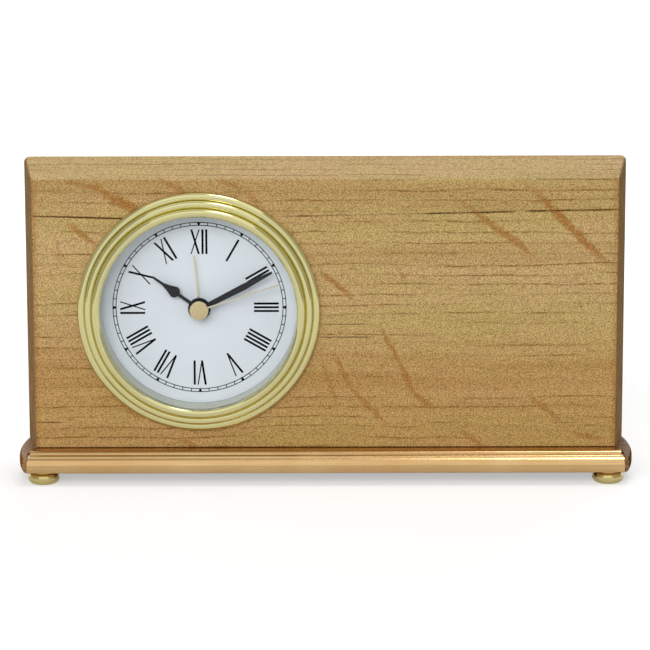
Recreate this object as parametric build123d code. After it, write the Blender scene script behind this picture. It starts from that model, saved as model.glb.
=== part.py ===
from build123d import *
import math
import os

# Wooden desk clock: an upright hardwood block on a thin plinth with a metal nosing and
# bun feet, holding a quartz alarm insert on the left.
# Lengths in millimetres. +Z is up, the front faces -Y, and the origin lies on the table
# under the middle of the plinth.

overrun = 1.0  # how far every cut runs past the faces it opens

# Block: its sides and top flare out towards the back
block_width = 217.1  # across the front face
block_height = 103.6  # top of the plinth to the top of the front face
block_thickness = 25.4
block_flare = 4.65  # added to each side and the top, from front to back
block_corner = 1.7  # rounding of the two slanting corners
block_back_easing = 1.5
block_front_easing = 0.4
easing_limit_share = 0.9  # the easing stays under the corner rounding

# Plinth
base_thickness = 6.2
base_side_margin = 6.5  # plinth past the front face of the block at each end
base_back_margin = 2.6  # plinth past the back of the block
base_bow = 2.3  # how far each end curves out in plan
base_rounding_share = 0.34  # edge rounding as a share of the thickness

# Metal nosing along the front of the plinth: a round nose, two small reeds and a flat ledge to the block
molding_reach = 9.2  # front of the nose to the back of the ledge
molding_inset = 3.8  # end of the plinth to the end of the nosing
block_setback = 0.1  # back of the nosing to the face of the block
nose_radius = 4.5
nose_brow = 1.87  # height of the nose's foremost line
nose_crown = 55.0  # degrees above level where the nose meets the lower reed
nose_chin = 1.2  # foremost line back to the flat underside
nose_depth = 4.0  # front of the nose to the plinth behind it
reed_depths = (1.3, 1.6)  # lower and upper reed
reed_heights = (0.95, 1.3)
reed_bulge_share = 0.155  # of the reed's chord
reed_short = 1.2  # end of the nose to the end of the reeds
flange_thickness = 3.5

# Feet and wood screws
foot_diameter = 11.7
foot_height = 4.8
foot_inset_x = 9.6  # end of the plinth to the foot's middle
foot_inset_y = 6.6  # front or back of the plinth to the foot's middle
foot_sole_share = 0.66
foot_neck_share = 0.74
foot_belly_share = 0.45
foot_shoulder_share = 0.88
foot_screw_diameter = 2.0
foot_screw_head_diameter = 4.8
foot_screw_head_height = 1.2
foot_screw_recess = 0.3
foot_screw_cover = 0.4  # wood left above the screw's tip, under the nosing's flange
block_screw_diameter = 3.2
block_screw_head_diameter = 6.4
block_screw_head_height = 1.6
block_screw_bite = 15.0  # depth of the screw in the block
block_screw_inset = 36.6  # end of the block to the screw

# Insert, seen from the front
dial_offset_share = 0.2162  # middle of the block to the middle of the dial, of its width
dial_rise_share = 0.5175  # bottom of the block to the middle of the dial, of its height
dial_depth = 7.5  # face of the wood to the face of the dial
dial_thickness = 0.5
dial_hole_clearance = 0.5
sight_diameter = 73.0  # clear opening in front of the dial
ring_wall = 0.9
pocket_play = 0.1
case_wall = 1.0
can_wall = 1.5
floor_thickness = 1.6
band_thickness = 1.2
band_margin = 2.0  # bare case in front of the grip band and behind it
band_gap = 8.0
rim_height = 2.4  # front rim of the case in front of the wood
lens_thickness = 1.7
lens_margin = 0.5
lens_play = 0.05
lip_thickness = 1.0
bezel_crown = 0.85
bezel_overlap = 5.3  # bezel over the wood outside the bore
bezel_foot_height = 0.5
roll_width_shares = (1.0, 0.65, 0.36, 0.0)  # where the rolls meet, sight edge to rim
roll_crest_shares = (0.43, 0.74, 1.0)  # crest heights of the three rolls
roll_valley_shares = (0.34, 0.64)  # heights where two rolls meet
roll_crest_place_share = 0.45

# Plates and wheel layers, counted backwards from the dial
wheel_thickness = 0.8
layer_gap = 0.4
plate_thickness = 1.0
plate_margin = 1.4
plate_corner = 2.0
cover_gap = 0.8
cover_thickness = 1.6

# Wheel train. The works are laid out to the dial: distances are shares of the sight diameter
third_distance_share = 0.1233  # dial centre to the third wheel
third_angle = 150.0
motion_angle = 30.0
time_knob_angle = 60.0
alarm_knob_angle = -45.0
intermediate_distance_share = 0.0986
intermediate_angle = 200.0
rotor_distance_share = 0.0959
rotor_angle = 215.0
rotor_teeth = 8
intermediate_teeth = 48
intermediate_pinion_teeth = 8
second_teeth = 40
second_pinion_teeth = 8
third_teeth = 60
third_pinion_teeth = 8
center_teeth = 64
cannon_teeth = 12
motion_teeth = 36
motion_pinion_teeth = 10
hour_teeth = 40
alarm_teeth = 48
alarm_knob_teeth = 16
time_knob_teeth = 12
addendum_share = 0.7
dedendum_share = 1.0
tooth_share = 0.44  # tooth thickness in one pitch, the rest is gap and play
pressure_angle = math.radians(25)
passing_clearance = 0.55  # least room between pieces that pass each other
running_gap = 0.05
pivot_depth = 0.8
pivot_radius = 0.4
arbor_radius = 0.5
tube_wall = 0.55
collar_radius = 1.7
collar_thickness = 0.3
motion_post_radius = 0.6
knob_shaft_radius = 0.8

# Motor, sized to the sight diameter
magnet_diameter_share = 0.0712
magnet_play = 0.4
stator_width_share = 0.104
stator_length_share = 0.2466
stator_thickness = 1.0
core_width = 2.0
core_lap = 2.3
bobbin_wall = 0.6
bobbin_flange_diameter_share = 0.0877
bobbin_length_share = 0.1644
winding_margin = 0.2
coil_gap = 0.5

# Electrics, sized to the sight diameter
battery_diameter_share = 0.1644
battery_length_share = 0.4
battery_nub_diameter = 4.0
battery_nub_length = 1.0
battery_play = 0.4
battery_gap = 0.7
contact_thickness = 0.5
contact_width_share = 0.11
contact_height_share = 0.137
contact_foot = 3.0
board_width_share = 0.1712
board_height_share = 0.274
board_thickness = 1.0
board_gap = 2.0
board_stand = 7.0  # back of the case floor to the board
board_post_radius = 1.5
board_post_inset = 2.5
chip_diameter = 5.0
chip_height = 1.2
crystal_diameter = 2.0
crystal_length = 6.0
buzzer_diameter_share = 0.25
buzzer_height = 3.5
buzzer_gap = 0.8
sound_hole_diameter = 1.6
sound_ring_share = 0.22  # ring of sound holes, of the buzzer's diameter
sound_hole_count = 6

# Fasteners of the insert
post_radius = 1.8
post_inset = 2.2
boss_radius = 2.2
boss_wall_gap = 1.3
boss_angles = (-31.0, 44.4, 135.6, 211.0)
small_screw_radius = 0.6
small_screw_head_radius = 1.4
small_screw_head_height = 1.2
small_screw_bite = 4.0

# Controls on the back
knob_gap = 0.3
knob_height = 3.0
time_knob_share = 0.1507  # diameters, of the sight diameter
alarm_knob_share = 0.137
flute_count = 24
flute_share = 0.93
switch_distance_share = 0.3562
switch_angle = 163.0
switch_travel = 4.0
switch_plate_share = 0.1644
switch_plate_height = 5.0
switch_plate_thickness = 1.1
switch_stem_width = 3.0
switch_stem_height = 2.4
switch_nub_height = 1.3
switch_nub_lap = 0.6
door_play = 0.1
door_thickness = 1.0
door_lap = 1.6
door_opening_play = 0.6
door_travel = 4.5
rail_width = 1.6
rail_lip = 0.8
rail_lip_thickness = 0.6
grip_rib_width = 0.8
grip_rib_height = 0.4
grip_rib_pitch = 2.0
grip_rib_count = 3
grip_rib_share = 0.5

# Hands: lengths and hubs as shares of the sight diameter, angles clockwise from twelve
hour_length_share = 0.2877
hour_hand_angle = 305.2
hour_hand_thickness = 0.5
hour_hand_half_width = 0.6
hour_leaf_half_width = 2.15
hour_shoulder_half_width = 1.75
hour_waist_half_width = 1.2
hour_neck_half_width = 0.5
hour_tip_half_width = 0.38
hour_leaf_start_share = 0.445
hour_shoulder_share = 0.48
hour_leaf_place_share = 0.545
hour_waist_share = 0.66
hour_neck_share = 0.78
hour_hub_share = 0.1151
minute_length_share = 0.4192
minute_hand_angle = 62.6
minute_hand_thickness = 0.5
minute_hand_half_width = 0.85
minute_belly_half_width = 1.2
minute_tip_half_width = 0.42
minute_belly_share = 0.62
minute_hub_share = 0.0822
second_length_share = 0.4329
second_hand_angle = 72.0
second_hand_thickness = 0.3
second_hand_half_width = 0.3
second_tip_half_width = 0.24
cap_share = 0.0959
cap_thickness = 1.2
alarm_length_share = 0.274
alarm_hand_angle = 354.7
alarm_hand_thickness = 0.4
alarm_hand_half_width = 0.42
alarm_tip_half_width = 0.3
alarm_hub_wall = 1.2
hand_gap = 1.0  # free height between one hand and the next

# Places worked out from the sizes above, in the frame of the whole clock
base_length = block_width + 2 * base_side_margin
base_depth = molding_reach + block_setback + block_thickness + base_back_margin
molding_length = base_length - 2 * molding_inset
nose_top = nose_brow + nose_radius * math.sin(math.radians(nose_crown))
nosing_height = nose_top + sum(reed_heights)
base_front = -base_depth / 2
base_back = base_depth / 2
base_top = foot_height + base_thickness
face_y = base_front + molding_reach + block_setback
block_middle_y = face_y + block_thickness / 2
dial_offset = dial_offset_share * block_width
dial_z = base_top + dial_rise_share * block_height

# Radii of the insert, from the dial outwards
sight_radius = sight_diameter / 2
ring_radius = sight_radius + ring_wall
pocket_radius = ring_radius + pocket_play
case_radius = pocket_radius + case_wall
room_radius = case_radius - can_wall
bore_radius = case_radius + band_thickness
bezel_radius = bore_radius + bezel_overlap
lens_radius = case_radius - lens_margin

# Sizes that follow the sight opening
third_distance = third_distance_share * sight_diameter
intermediate_distance = intermediate_distance_share * sight_diameter
rotor_distance = rotor_distance_share * sight_diameter
magnet_diameter = magnet_diameter_share * sight_diameter
stator_width = stator_width_share * sight_diameter
stator_length = stator_length_share * sight_diameter
bobbin_flange_diameter = bobbin_flange_diameter_share * sight_diameter
bobbin_length = bobbin_length_share * sight_diameter
battery_diameter = battery_diameter_share * sight_diameter
battery_length = battery_length_share * sight_diameter
contact_width = contact_width_share * sight_diameter
contact_height = contact_height_share * sight_diameter
board_width = board_width_share * sight_diameter
board_height = board_height_share * sight_diameter
buzzer_diameter = buzzer_diameter_share * sight_diameter
time_knob_diameter = time_knob_share * sight_diameter
alarm_knob_diameter = alarm_knob_share * sight_diameter
switch_distance = switch_distance_share * sight_diameter
switch_plate_width = switch_plate_share * sight_diameter
hour_hand_length = hour_length_share * sight_diameter
hour_hub_diameter = hour_hub_share * sight_diameter
minute_hand_length = minute_length_share * sight_diameter
minute_hub_diameter = minute_hub_share * sight_diameter
second_hand_length = second_length_share * sight_diameter
cap_diameter = cap_share * sight_diameter
alarm_hand_length = alarm_length_share * sight_diameter

# Levels of the insert: distance in front of the wood's face, negative behind it
lens_back = rim_height
lens_front = lens_back + lens_thickness
lip_back = lens_front + lens_play
lip_front = lip_back + lip_thickness
bezel_rise = lip_front + bezel_crown
dial_face = -dial_depth
dial_back = dial_face - dial_thickness
floor_back = dial_back - floor_thickness
layer_pitch = wheel_thickness + layer_gap
alarm_level = floor_back - layer_pitch
hour_level = alarm_level - layer_pitch
motion_level = hour_level - layer_pitch
center_level = motion_level - layer_pitch
third_level = center_level - layer_pitch
middle_plate_front = third_level - layer_gap
middle_plate_back = middle_plate_front - plate_thickness
second_level = middle_plate_back - layer_pitch
intermediate_level = second_level - layer_pitch
rear_plate_front = intermediate_level - layer_gap
rear_plate_back = rear_plate_front - plate_thickness
battery_back = floor_back - battery_diameter - 2 * battery_play
cover_face = min(rear_plate_back - cover_gap - small_screw_head_height, battery_back)
cover_back = cover_face - cover_thickness

# Levels of the hands
alarm_hand_back = dial_face + hand_gap
alarm_hand_front = alarm_hand_back + alarm_hand_thickness
hour_hand_back = alarm_hand_front + hand_gap
hour_hand_front = hour_hand_back + hour_hand_thickness
minute_hand_back = hour_hand_front + hand_gap
minute_hand_front = minute_hand_back + minute_hand_thickness
cap_back = minute_hand_front + hand_gap
cap_front = cap_back + cap_thickness

# Radii of the tubes that carry the hands, one inside the next
cannon_bore = arbor_radius + running_gap
cannon_radius = cannon_bore + tube_wall
hour_bore = cannon_radius + running_gap
hour_tube_radius = hour_bore + tube_wall
alarm_bore = hour_tube_radius + running_gap
alarm_tube_radius = alarm_bore + tube_wall
bushing_bore = alarm_tube_radius + running_gap


def polar(distance, degrees, start=(0, 0)):
    angle = math.radians(degrees)
    return (start[0] + distance * math.cos(angle), start[1] + distance * math.sin(angle))


def pair_module(distance, teeth_a, teeth_b):
    return 2 * distance / (teeth_a + teeth_b)


def tip_radius(teeth, module):
    return teeth * module / 2 + addendum_share * module


# Each pair of wheels shares one module, taken from the distance between its axes
third_module = pair_module(third_distance, second_pinion_teeth, third_teeth)
center_module = pair_module(third_distance, third_pinion_teeth, center_teeth)
alarm_distance = tip_radius(center_teeth, center_module) + passing_clearance + knob_shaft_radius
alarm_module = pair_module(alarm_distance, alarm_teeth, alarm_knob_teeth)
motion_distance = tip_radius(alarm_teeth, alarm_module) + passing_clearance + motion_post_radius
motion_module = pair_module(motion_distance, cannon_teeth, motion_teeth)
hour_module = pair_module(motion_distance, motion_pinion_teeth, hour_teeth)
time_knob_distance = (motion_teeth + time_knob_teeth) * motion_module / 2
intermediate_module = pair_module(intermediate_distance, intermediate_pinion_teeth, second_teeth)
rotor_module = pair_module(rotor_distance, rotor_teeth, intermediate_teeth)

# Axes in the plane of the dial, x to the right and y up from its middle
third_at = polar(third_distance, third_angle)
motion_at = polar(motion_distance, motion_angle)
time_knob_at = polar(time_knob_distance, time_knob_angle, motion_at)
alarm_knob_at = polar(alarm_distance, alarm_knob_angle)
intermediate_at = polar(intermediate_distance, intermediate_angle)
rotor_at = polar(rotor_distance, rotor_angle, intermediate_at)

# Plates, posts and the pieces beside them
plate_left = third_at[0] - tip_radius(third_teeth, third_module) - plate_margin
post_right = time_knob_at[0] + tip_radius(time_knob_teeth, motion_module) + passing_clearance + post_radius
plate_right = post_right + post_inset
plate_top = time_knob_at[1] + post_radius + post_inset
plate_bottom = rotor_at[1] - stator_length / 2 - passing_clearance
post_low = plate_bottom + post_inset
post_high = plate_top - post_inset
inner_post_x = rotor_at[0] + stator_width / 2 + passing_clearance + post_radius
post_places = (
    (plate_left + post_inset, post_high),
    (post_right, post_high),
    (post_right, post_low),
    (inner_post_x, post_low),
)
boss_places = [polar(room_radius - boss_radius - boss_wall_gap, angle) for angle in boss_angles]
battery_at = (0, plate_bottom - battery_gap - battery_diameter / 2)
battery_level = floor_back - battery_play - battery_diameter / 2
coil_at = (plate_left - coil_gap - bobbin_flange_diameter / 2, rotor_at[1])
core_front = middle_plate_back - stator_thickness
core_level = core_front - stator_thickness / 2
board_at = (plate_right + board_gap + board_width / 2, 0)
board_front = floor_back - board_stand
board_back = board_front - board_thickness
board_post_places = [
    (board_at[0], board_at[1] + side * (board_height / 2 - board_post_inset)) for side in (-1, 1)
]
buzzer_at = (0, plate_top + buzzer_gap + buzzer_diameter / 2)
switch_at = polar(switch_distance, switch_angle)
door_width = battery_length + battery_nub_length + 2 * (door_opening_play + door_lap)
door_height = battery_diameter + 2 * (door_opening_play + door_lap)
door_front = cover_back - door_play
door_back = door_front - door_thickness

# The insert's own frame: x to the right, y up and z towards the viewer, from the dial's
# middle on the face of the wood
insert_frame = Plane(origin=(-dial_offset, face_y, dial_z), x_dir=(1, 0, 0), z_dir=(0, -1, 0))


def rod(radius, back, front, at=(0, 0)):
    level = Align.CENTER, Align.CENTER, Align.MIN
    return Pos(at[0], at[1], back) * Cylinder(radius, front - back, align=level)


def tube(radius, bore, back, front, at=(0, 0)):
    return rod(radius, back, front, at) - rod(bore, back - overrun, front + overrun, at)


def slab(width, height, back, front, at=(0, 0)):
    level = Align.CENTER, Align.CENTER, Align.MIN
    return Pos(at[0], at[1], back) * Box(width, height, front - back, align=level)


def profile_solid(points, back, front):
    return Pos(0, 0, back) * extrude(make_face(Polyline(*points, close=True)), front - back)


def gear(teeth, module, back, front, at=(0, 0), phase=0.0):
    # involute teeth, thinned for play, with a tooth centred at the phase angle
    pitch_radius = teeth * module / 2
    base_radius = pitch_radius * math.cos(pressure_angle)
    root_radius = pitch_radius - dedendum_share * module
    flank = sorted({root_radius, max(root_radius, base_radius), pitch_radius, tip_radius(teeth, module)})

    def half_angle(radius):
        roll = math.acos(min(base_radius / radius, 1))
        drift = math.tan(pressure_angle) - pressure_angle - math.tan(roll) + roll
        return tooth_share * math.pi / teeth + drift

    points = []
    for tooth in range(teeth):
        middle = phase + 2 * math.pi * tooth / teeth
        points += [(radius, middle - half_angle(radius)) for radius in flank]
        points += [(radius, middle + half_angle(radius)) for radius in reversed(flank)]
    outline = [(at[0] + r * math.cos(a), at[1] + r * math.sin(a)) for r, a in points]
    return profile_solid(outline, back, front)


def meshed_phase(teeth_a, phase_a, teeth_b, direction):
    # phase that puts a gap of wheel b on a tooth of wheel a, b lying in this direction from a
    angle = math.radians(direction)
    shift = ((angle - phase_a) * teeth_a / (2 * math.pi)) % 1
    return angle + math.pi - (1 / 2 - shift) * 2 * math.pi / teeth_b


third_phase = meshed_phase(second_pinion_teeth, 0, third_teeth, third_angle)
center_phase = meshed_phase(third_pinion_teeth, 0, center_teeth, third_angle + 180)
motion_phase = meshed_phase(cannon_teeth, 0, motion_teeth, motion_angle)
hour_phase = meshed_phase(motion_pinion_teeth, 0, hour_teeth, motion_angle + 180)
time_knob_phase = meshed_phase(motion_teeth, motion_phase, time_knob_teeth, time_knob_angle)
alarm_knob_phase = meshed_phase(alarm_teeth, 0, alarm_knob_teeth, alarm_knob_angle)
intermediate_phase = meshed_phase(second_teeth, 0, intermediate_pinion_teeth, intermediate_angle)
rotor_phase = meshed_phase(intermediate_teeth, 0, rotor_teeth, rotor_angle)


def in_insert(shape):
    return insert_frame.location * shape


def group(solids):
    return Compound(children=list(solids))


# Wood

foot_places = {
    f"foot_{end}_{side}": (sign_x * (base_length / 2 - foot_inset_x), sign_y * (base_back - foot_inset_y))
    for end, sign_y in (("front", -1), ("rear", 1))
    for side, sign_x in (("left", -1), ("right", 1))
}
block_screw_places = [
    (side * (block_width / 2 - block_screw_inset), block_middle_y) for side in (-1, 1)
]
block_screw_top = base_top + block_screw_bite
foot_screw_top = foot_height + nosing_height - flange_thickness - foot_screw_cover


def block_section(width, height, y):
    plane = Plane(origin=(0, y, base_top + height / 2), x_dir=(1, 0, 0), z_dir=(0, -1, 0))
    return plane * Rectangle(width, height)


def clock_block():
    back_y = face_y + block_thickness
    back_width = block_width + 2 * block_flare
    front = block_section(block_width, block_height, face_y)
    back = block_section(back_width, block_height + block_flare, back_y)
    block = loft([front, back], ruled=True)
    slanting = block.edges().sort_by(Axis.Z)
    corners = [edge for edge in slanting if edge.length < 2 * block_thickness and edge.center().Z > dial_z]
    block = fillet(corners, block_corner)
    easing_limit = easing_limit_share * block_corner
    for rim, easing in ((0, block_front_easing), (-1, block_back_easing)):
        edges = block.faces().sort_by(Axis.Y)[rim].edges().sort_by(Axis.Z)[1:]
        block = fillet(edges, min(easing, easing_limit))
    block -= in_insert(rod(bore_radius, -block_thickness - overrun, overrun))
    for place in block_screw_places:
        block -= rod(block_screw_diameter / 2, base_top - overrun, block_screw_top, place)
    return block


def base_board():
    half = base_length / 2 - base_bow
    ends = [
        ThreePointArc((side * half, base_front), (side * base_length / 2, 0), (side * half, base_back))
        for side in (-1, 1)
    ]
    fronts = [Line((-half, y), (half, y)) for y in (base_front, base_back)]
    board = extrude(make_face(ends + fronts), base_thickness)
    rounded = board.edges().filter_by(GeomType.CIRCLE)
    board = fillet(rounded, base_rounding_share * base_thickness)
    low = Align.CENTER, Align.MIN, Align.MIN
    nose_room = Box(molding_length, nose_depth + overrun, base_thickness + 2 * overrun, align=low)
    flange_room = Box(molding_length, molding_reach + overrun, base_thickness, align=low)
    board -= Pos(0, base_front - overrun, -overrun) * nose_room
    board -= Pos(0, base_front - overrun, nosing_height - flange_thickness) * flange_room
    board = Pos(0, 0, foot_height) * board
    for place in foot_places.values():
        board -= rod(foot_screw_diameter / 2, foot_height - overrun, foot_screw_top, place)
    for place in block_screw_places:
        board -= rod(block_screw_diameter / 2, foot_height - overrun, base_top + overrun, place)
        head_top = foot_height + block_screw_head_height
        board -= rod(block_screw_head_diameter / 2, foot_height - overrun, head_top, place)
    return board


def base_molding():
    chin_y = base_front + nose_chin
    step_y = base_front + nose_depth
    back_y = base_front + molding_reach
    flange_low = nosing_height - flange_thickness
    place = (base_front + nose_radius * (1 - math.cos(math.radians(nose_crown))), nose_top)
    outline = [
        EllipticalCenterArc((chin_y, nose_brow), nose_chin, nose_brow, start_angle=180),
        CenterArc((base_front + nose_radius, nose_brow), nose_radius, 180, -nose_crown),
    ]
    for depth, height in zip(reed_depths, reed_heights):
        end = (place[0] + depth, place[1] + height)
        crest = (
            place[0] + depth / 2 - reed_bulge_share * height,
            place[1] + height / 2 + reed_bulge_share * depth,
        )
        outline.append(ThreePointArc(place, crest, end))
        place = end
    outline.append(Polyline(
        place, (back_y, nosing_height), (back_y, flange_low), (step_y, flange_low), (step_y, 0), (chin_y, 0)
    ))
    section = Plane.YZ * make_face(outline)
    nosing = Pos(-molding_length / 2, 0, foot_height) * extrude(section, molding_length)
    end_room = Box(2 * reed_short, base_depth, nosing_height, align=(Align.CENTER, Align.CENTER, Align.MIN))
    for side in (-1, 1):
        nosing -= Pos(side * molding_length / 2, 0, foot_height + nose_top) * end_room
    return nosing


def foot(place):
    radius = foot_diameter / 2
    sole = foot_sole_share * radius
    neck = foot_neck_share * radius
    shoulder = foot_shoulder_share * foot_height
    outline = [
        ThreePointArc((sole, 0), (radius, foot_belly_share * foot_height), (neck, shoulder)),
        Polyline((neck, shoulder), (neck, foot_height), (0, foot_height), (0, 0), (sole, 0)),
    ]
    bun = revolve(Plane.XZ * make_face(outline), Axis.Z)
    head_room = foot_screw_recess + foot_screw_head_height
    bun -= rod(foot_screw_head_diameter / 2, -overrun, head_room)
    bun -= rod(foot_screw_diameter / 2, -overrun, foot_height + overrun)
    return Pos(place[0], place[1], 0) * bun


def foot_screw(place):
    head_top = foot_screw_recess + foot_screw_head_height
    head = rod(foot_screw_head_diameter / 2, foot_screw_recess, head_top, place)
    return head + rod(foot_screw_diameter / 2, head_top, foot_screw_top, place)


def block_screw(place):
    head_top = foot_height + block_screw_head_height
    head = rod(block_screw_head_diameter / 2, foot_height, head_top, place)
    return head + rod(block_screw_diameter / 2, head_top, block_screw_top, place)


# Front of the insert


def bezel():
    span = bezel_radius - sight_radius
    radii = [sight_radius + share * span for share in roll_width_shares]
    crests = [share * bezel_rise for share in roll_crest_shares]
    valleys = [bezel_foot_height, *[share * bezel_rise for share in roll_valley_shares], lip_front]
    outline = []
    for number, crest in enumerate(crests):
        outer, inner = radii[number], radii[number + 1]
        top = (outer - roll_crest_place_share * (outer - inner), crest)
        outline.append(ThreePointArc((outer, valleys[number]), top, (inner, valleys[number + 1])))
    pocket = lens_radius + lens_play
    inside = [
        (sight_radius, lip_front),
        (sight_radius, lip_back),
        (pocket, lip_back),
        (pocket, lens_back),
        (case_radius + lens_play, lens_back),
        (case_radius + lens_play, 0),
        (bezel_radius, 0),
        (bezel_radius, bezel_foot_height),
    ]
    outline.append(Polyline(*inside))
    return revolve(Plane.XZ * make_face(outline), Axis.Z)


def lens():
    return rod(lens_radius, lens_back, lens_front)


def dial_ring():
    return tube(ring_radius, sight_radius, dial_face, lens_back)


def dial():
    hole = bushing_bore + dial_hole_clearance
    return tube(ring_radius, hole, dial_back, dial_face)


def grip_band():
    band_back = cover_face + band_margin
    band = tube(bore_radius, case_radius, band_back, -band_margin)
    slot = slab(band_gap, bore_radius, band_back - overrun, overrun, (0, -bore_radius))
    return band - slot


def insert_case():
    case = tube(case_radius, pocket_radius, dial_back, rim_height)
    case += rod(case_radius, floor_back, dial_back)
    case += tube(case_radius, room_radius, cover_face, floor_back)
    case -= rod(bushing_bore, floor_back - overrun, dial_back + overrun)
    for place in post_places:
        case += rod(post_radius, middle_plate_front, floor_back, place)
        tip = middle_plate_front + small_screw_bite
        case -= rod(small_screw_radius, middle_plate_front - overrun, tip, place)
    for place in boss_places:
        case += rod(boss_radius, cover_face, floor_back, place)
        case -= rod(small_screw_radius, cover_face - overrun, cover_face + small_screw_bite, place)
    for place in board_post_places:
        case += rod(board_post_radius, board_front, floor_back, place)
    case += rod(motion_post_radius, motion_level, floor_back, motion_at)
    pivot_end = floor_back + pivot_depth + running_gap
    case -= rod(pivot_radius + running_gap, floor_back - overrun, pivot_end, third_at)
    for place in (time_knob_at, alarm_knob_at):
        case -= rod(knob_shaft_radius + running_gap, floor_back - overrun, pivot_end, place)
    return case


# Plates and wheels


def plate(back, front):
    width = plate_right - plate_left
    height = plate_top - plate_bottom
    middle = ((plate_left + plate_right) / 2, (plate_bottom + plate_top) / 2)
    sheet = slab(width, height, back, front, middle)
    sheet = fillet(sheet.edges().filter_by(Axis.Z), plate_corner)
    for place in post_places:
        sheet -= rod(small_screw_radius, back - overrun, front + overrun, place)
    for place in (time_knob_at, alarm_knob_at):
        sheet -= rod(knob_shaft_radius + running_gap, back - overrun, front + overrun, place)
    for place in (intermediate_at, rotor_at):
        sheet -= rod(pivot_radius + running_gap, back - overrun, front + overrun, place)
    return sheet - rod(arbor_radius + running_gap, back - overrun, front + overrun)


def middle_plate():
    sheet = plate(middle_plate_back, middle_plate_front)
    hole_back = middle_plate_back - overrun
    return sheet - rod(pivot_radius + running_gap, hole_back, middle_plate_front + overrun, third_at)


def rear_plate():
    sheet = plate(rear_plate_back, rear_plate_front)
    for place in post_places:
        sheet += tube(post_radius, small_screw_radius, rear_plate_front, middle_plate_back, place)
    return sheet


def small_screw(seat_level, tip_level, place):
    head = rod(small_screw_head_radius, seat_level - small_screw_head_height, seat_level, place)
    return head + rod(small_screw_radius, seat_level, tip_level, place)


def plate_screws():
    tip = middle_plate_front + small_screw_bite
    return group(small_screw(rear_plate_back, tip, place) for place in post_places)


def cover_screws():
    tip = cover_face + small_screw_bite
    return group(small_screw(cover_back, tip, place) for place in boss_places)


def wheel(teeth, module, level, at=(0, 0), phase=0.0):
    return gear(teeth, module, level, level + wheel_thickness, at, phase)


def second_wheel():
    train = rod(arbor_radius, rear_plate_back, cap_front - cap_thickness / 2)
    train += wheel(second_teeth, intermediate_module, second_level)
    return train + wheel(second_pinion_teeth, third_module, third_level)


def third_wheel():
    train = rod(pivot_radius, middle_plate_back, floor_back + pivot_depth, third_at)
    train += wheel(third_teeth, third_module, third_level, third_at, third_phase)
    return train + wheel(third_pinion_teeth, center_module, center_level, third_at)


def center_wheel():
    ring = wheel(center_teeth, center_module, center_level, phase=center_phase)
    hole_back = center_level - overrun
    return ring - rod(cannon_radius + running_gap, hole_back, center_level + wheel_thickness + overrun)


def minute_cannon():
    collar_front = center_level - running_gap
    collar_back = collar_front - collar_thickness
    cannon = rod(cannon_radius, collar_back, minute_hand_front)
    cannon += rod(collar_radius, collar_back, collar_front)
    cannon += wheel(cannon_teeth, motion_module, motion_level)
    return cannon - rod(cannon_bore, collar_back - overrun, minute_hand_front + overrun)


def motion_wheel():
    train = wheel(motion_teeth, motion_module, motion_level, motion_at, motion_phase)
    pinion_back = motion_level + wheel_thickness
    pinion_front = hour_level + wheel_thickness
    train += gear(motion_pinion_teeth, hour_module, pinion_back, pinion_front, motion_at)
    hole_back = motion_level - overrun
    return train - rod(motion_post_radius + running_gap, hole_back, pinion_front + overrun, motion_at)


def hand_tube(teeth, module, level, radius, bore, front, phase=0.0):
    train = rod(radius, level, front) + wheel(teeth, module, level, phase=phase)
    return train - rod(bore, level - overrun, front + overrun)


def hour_wheel():
    size = (hour_tube_radius, hour_bore, hour_hand_front)
    return hand_tube(hour_teeth, hour_module, hour_level, *size, phase=hour_phase)


def alarm_wheel():
    size = (alarm_tube_radius, alarm_bore, alarm_hand_front)
    return hand_tube(alarm_teeth, alarm_module, alarm_level, *size)


def intermediate_wheel():
    train = rod(pivot_radius, rear_plate_back, middle_plate_front, intermediate_at)
    train += wheel(intermediate_teeth, rotor_module, intermediate_level, intermediate_at)
    pinion = (intermediate_pinion_teeth, intermediate_module, second_level, intermediate_at)
    return train + wheel(*pinion, intermediate_phase)


def rotor():
    arbor = rod(pivot_radius, rear_plate_back, middle_plate_front, rotor_at)
    return arbor + wheel(rotor_teeth, rotor_module, intermediate_level, rotor_at, rotor_phase)


def rotor_magnet():
    return tube(magnet_diameter / 2, pivot_radius, core_front, middle_plate_back - running_gap, rotor_at)


# Hands


def blade(half_outline, thickness, back, angle):
    # a flat hand drawn upwards from the middle, mirrored about its own length
    right = Curve() + half_outline
    face = make_face(right.edges() + mirror(right, Plane.YZ).edges())
    return Rot(0, 0, -angle) * (Pos(0, 0, back) * extrude(face, thickness))


def hour_hand():
    length = hour_hand_length
    leaf_start = (hour_hand_half_width, hour_leaf_start_share * length)
    leaf_middle = (hour_leaf_half_width, hour_leaf_place_share * length)
    shoulder = (hour_shoulder_half_width, hour_shoulder_share * length)
    waist = (hour_waist_half_width, hour_waist_share * length)
    neck = (hour_neck_half_width, hour_neck_share * length)
    outline = [
        Polyline((0, 0), (hour_hand_half_width, 0), leaf_start),
        ThreePointArc(leaf_start, shoulder, leaf_middle),
        ThreePointArc(leaf_middle, waist, neck),
        Polyline(neck, (hour_tip_half_width, length), (0, length)),
    ]
    hand = blade(outline, hour_hand_thickness, hour_hand_back, hour_hand_angle)
    hand += rod(hour_hub_diameter / 2, hour_hand_back, hour_hand_front)
    return hand - rod(hour_tube_radius, hour_hand_back - overrun, hour_hand_front + overrun)


def minute_hand():
    length = minute_hand_length
    belly = (minute_belly_half_width, minute_belly_share * length)
    tip = (minute_tip_half_width, length)
    outline = [Polyline((0, 0), (minute_hand_half_width, 0), belly, tip, (0, length))]
    hand = blade(outline, minute_hand_thickness, minute_hand_back, minute_hand_angle)
    hand += rod(minute_hub_diameter / 2, minute_hand_back, minute_hand_front)
    return hand - rod(cannon_radius, minute_hand_back - overrun, minute_hand_front + overrun)


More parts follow.
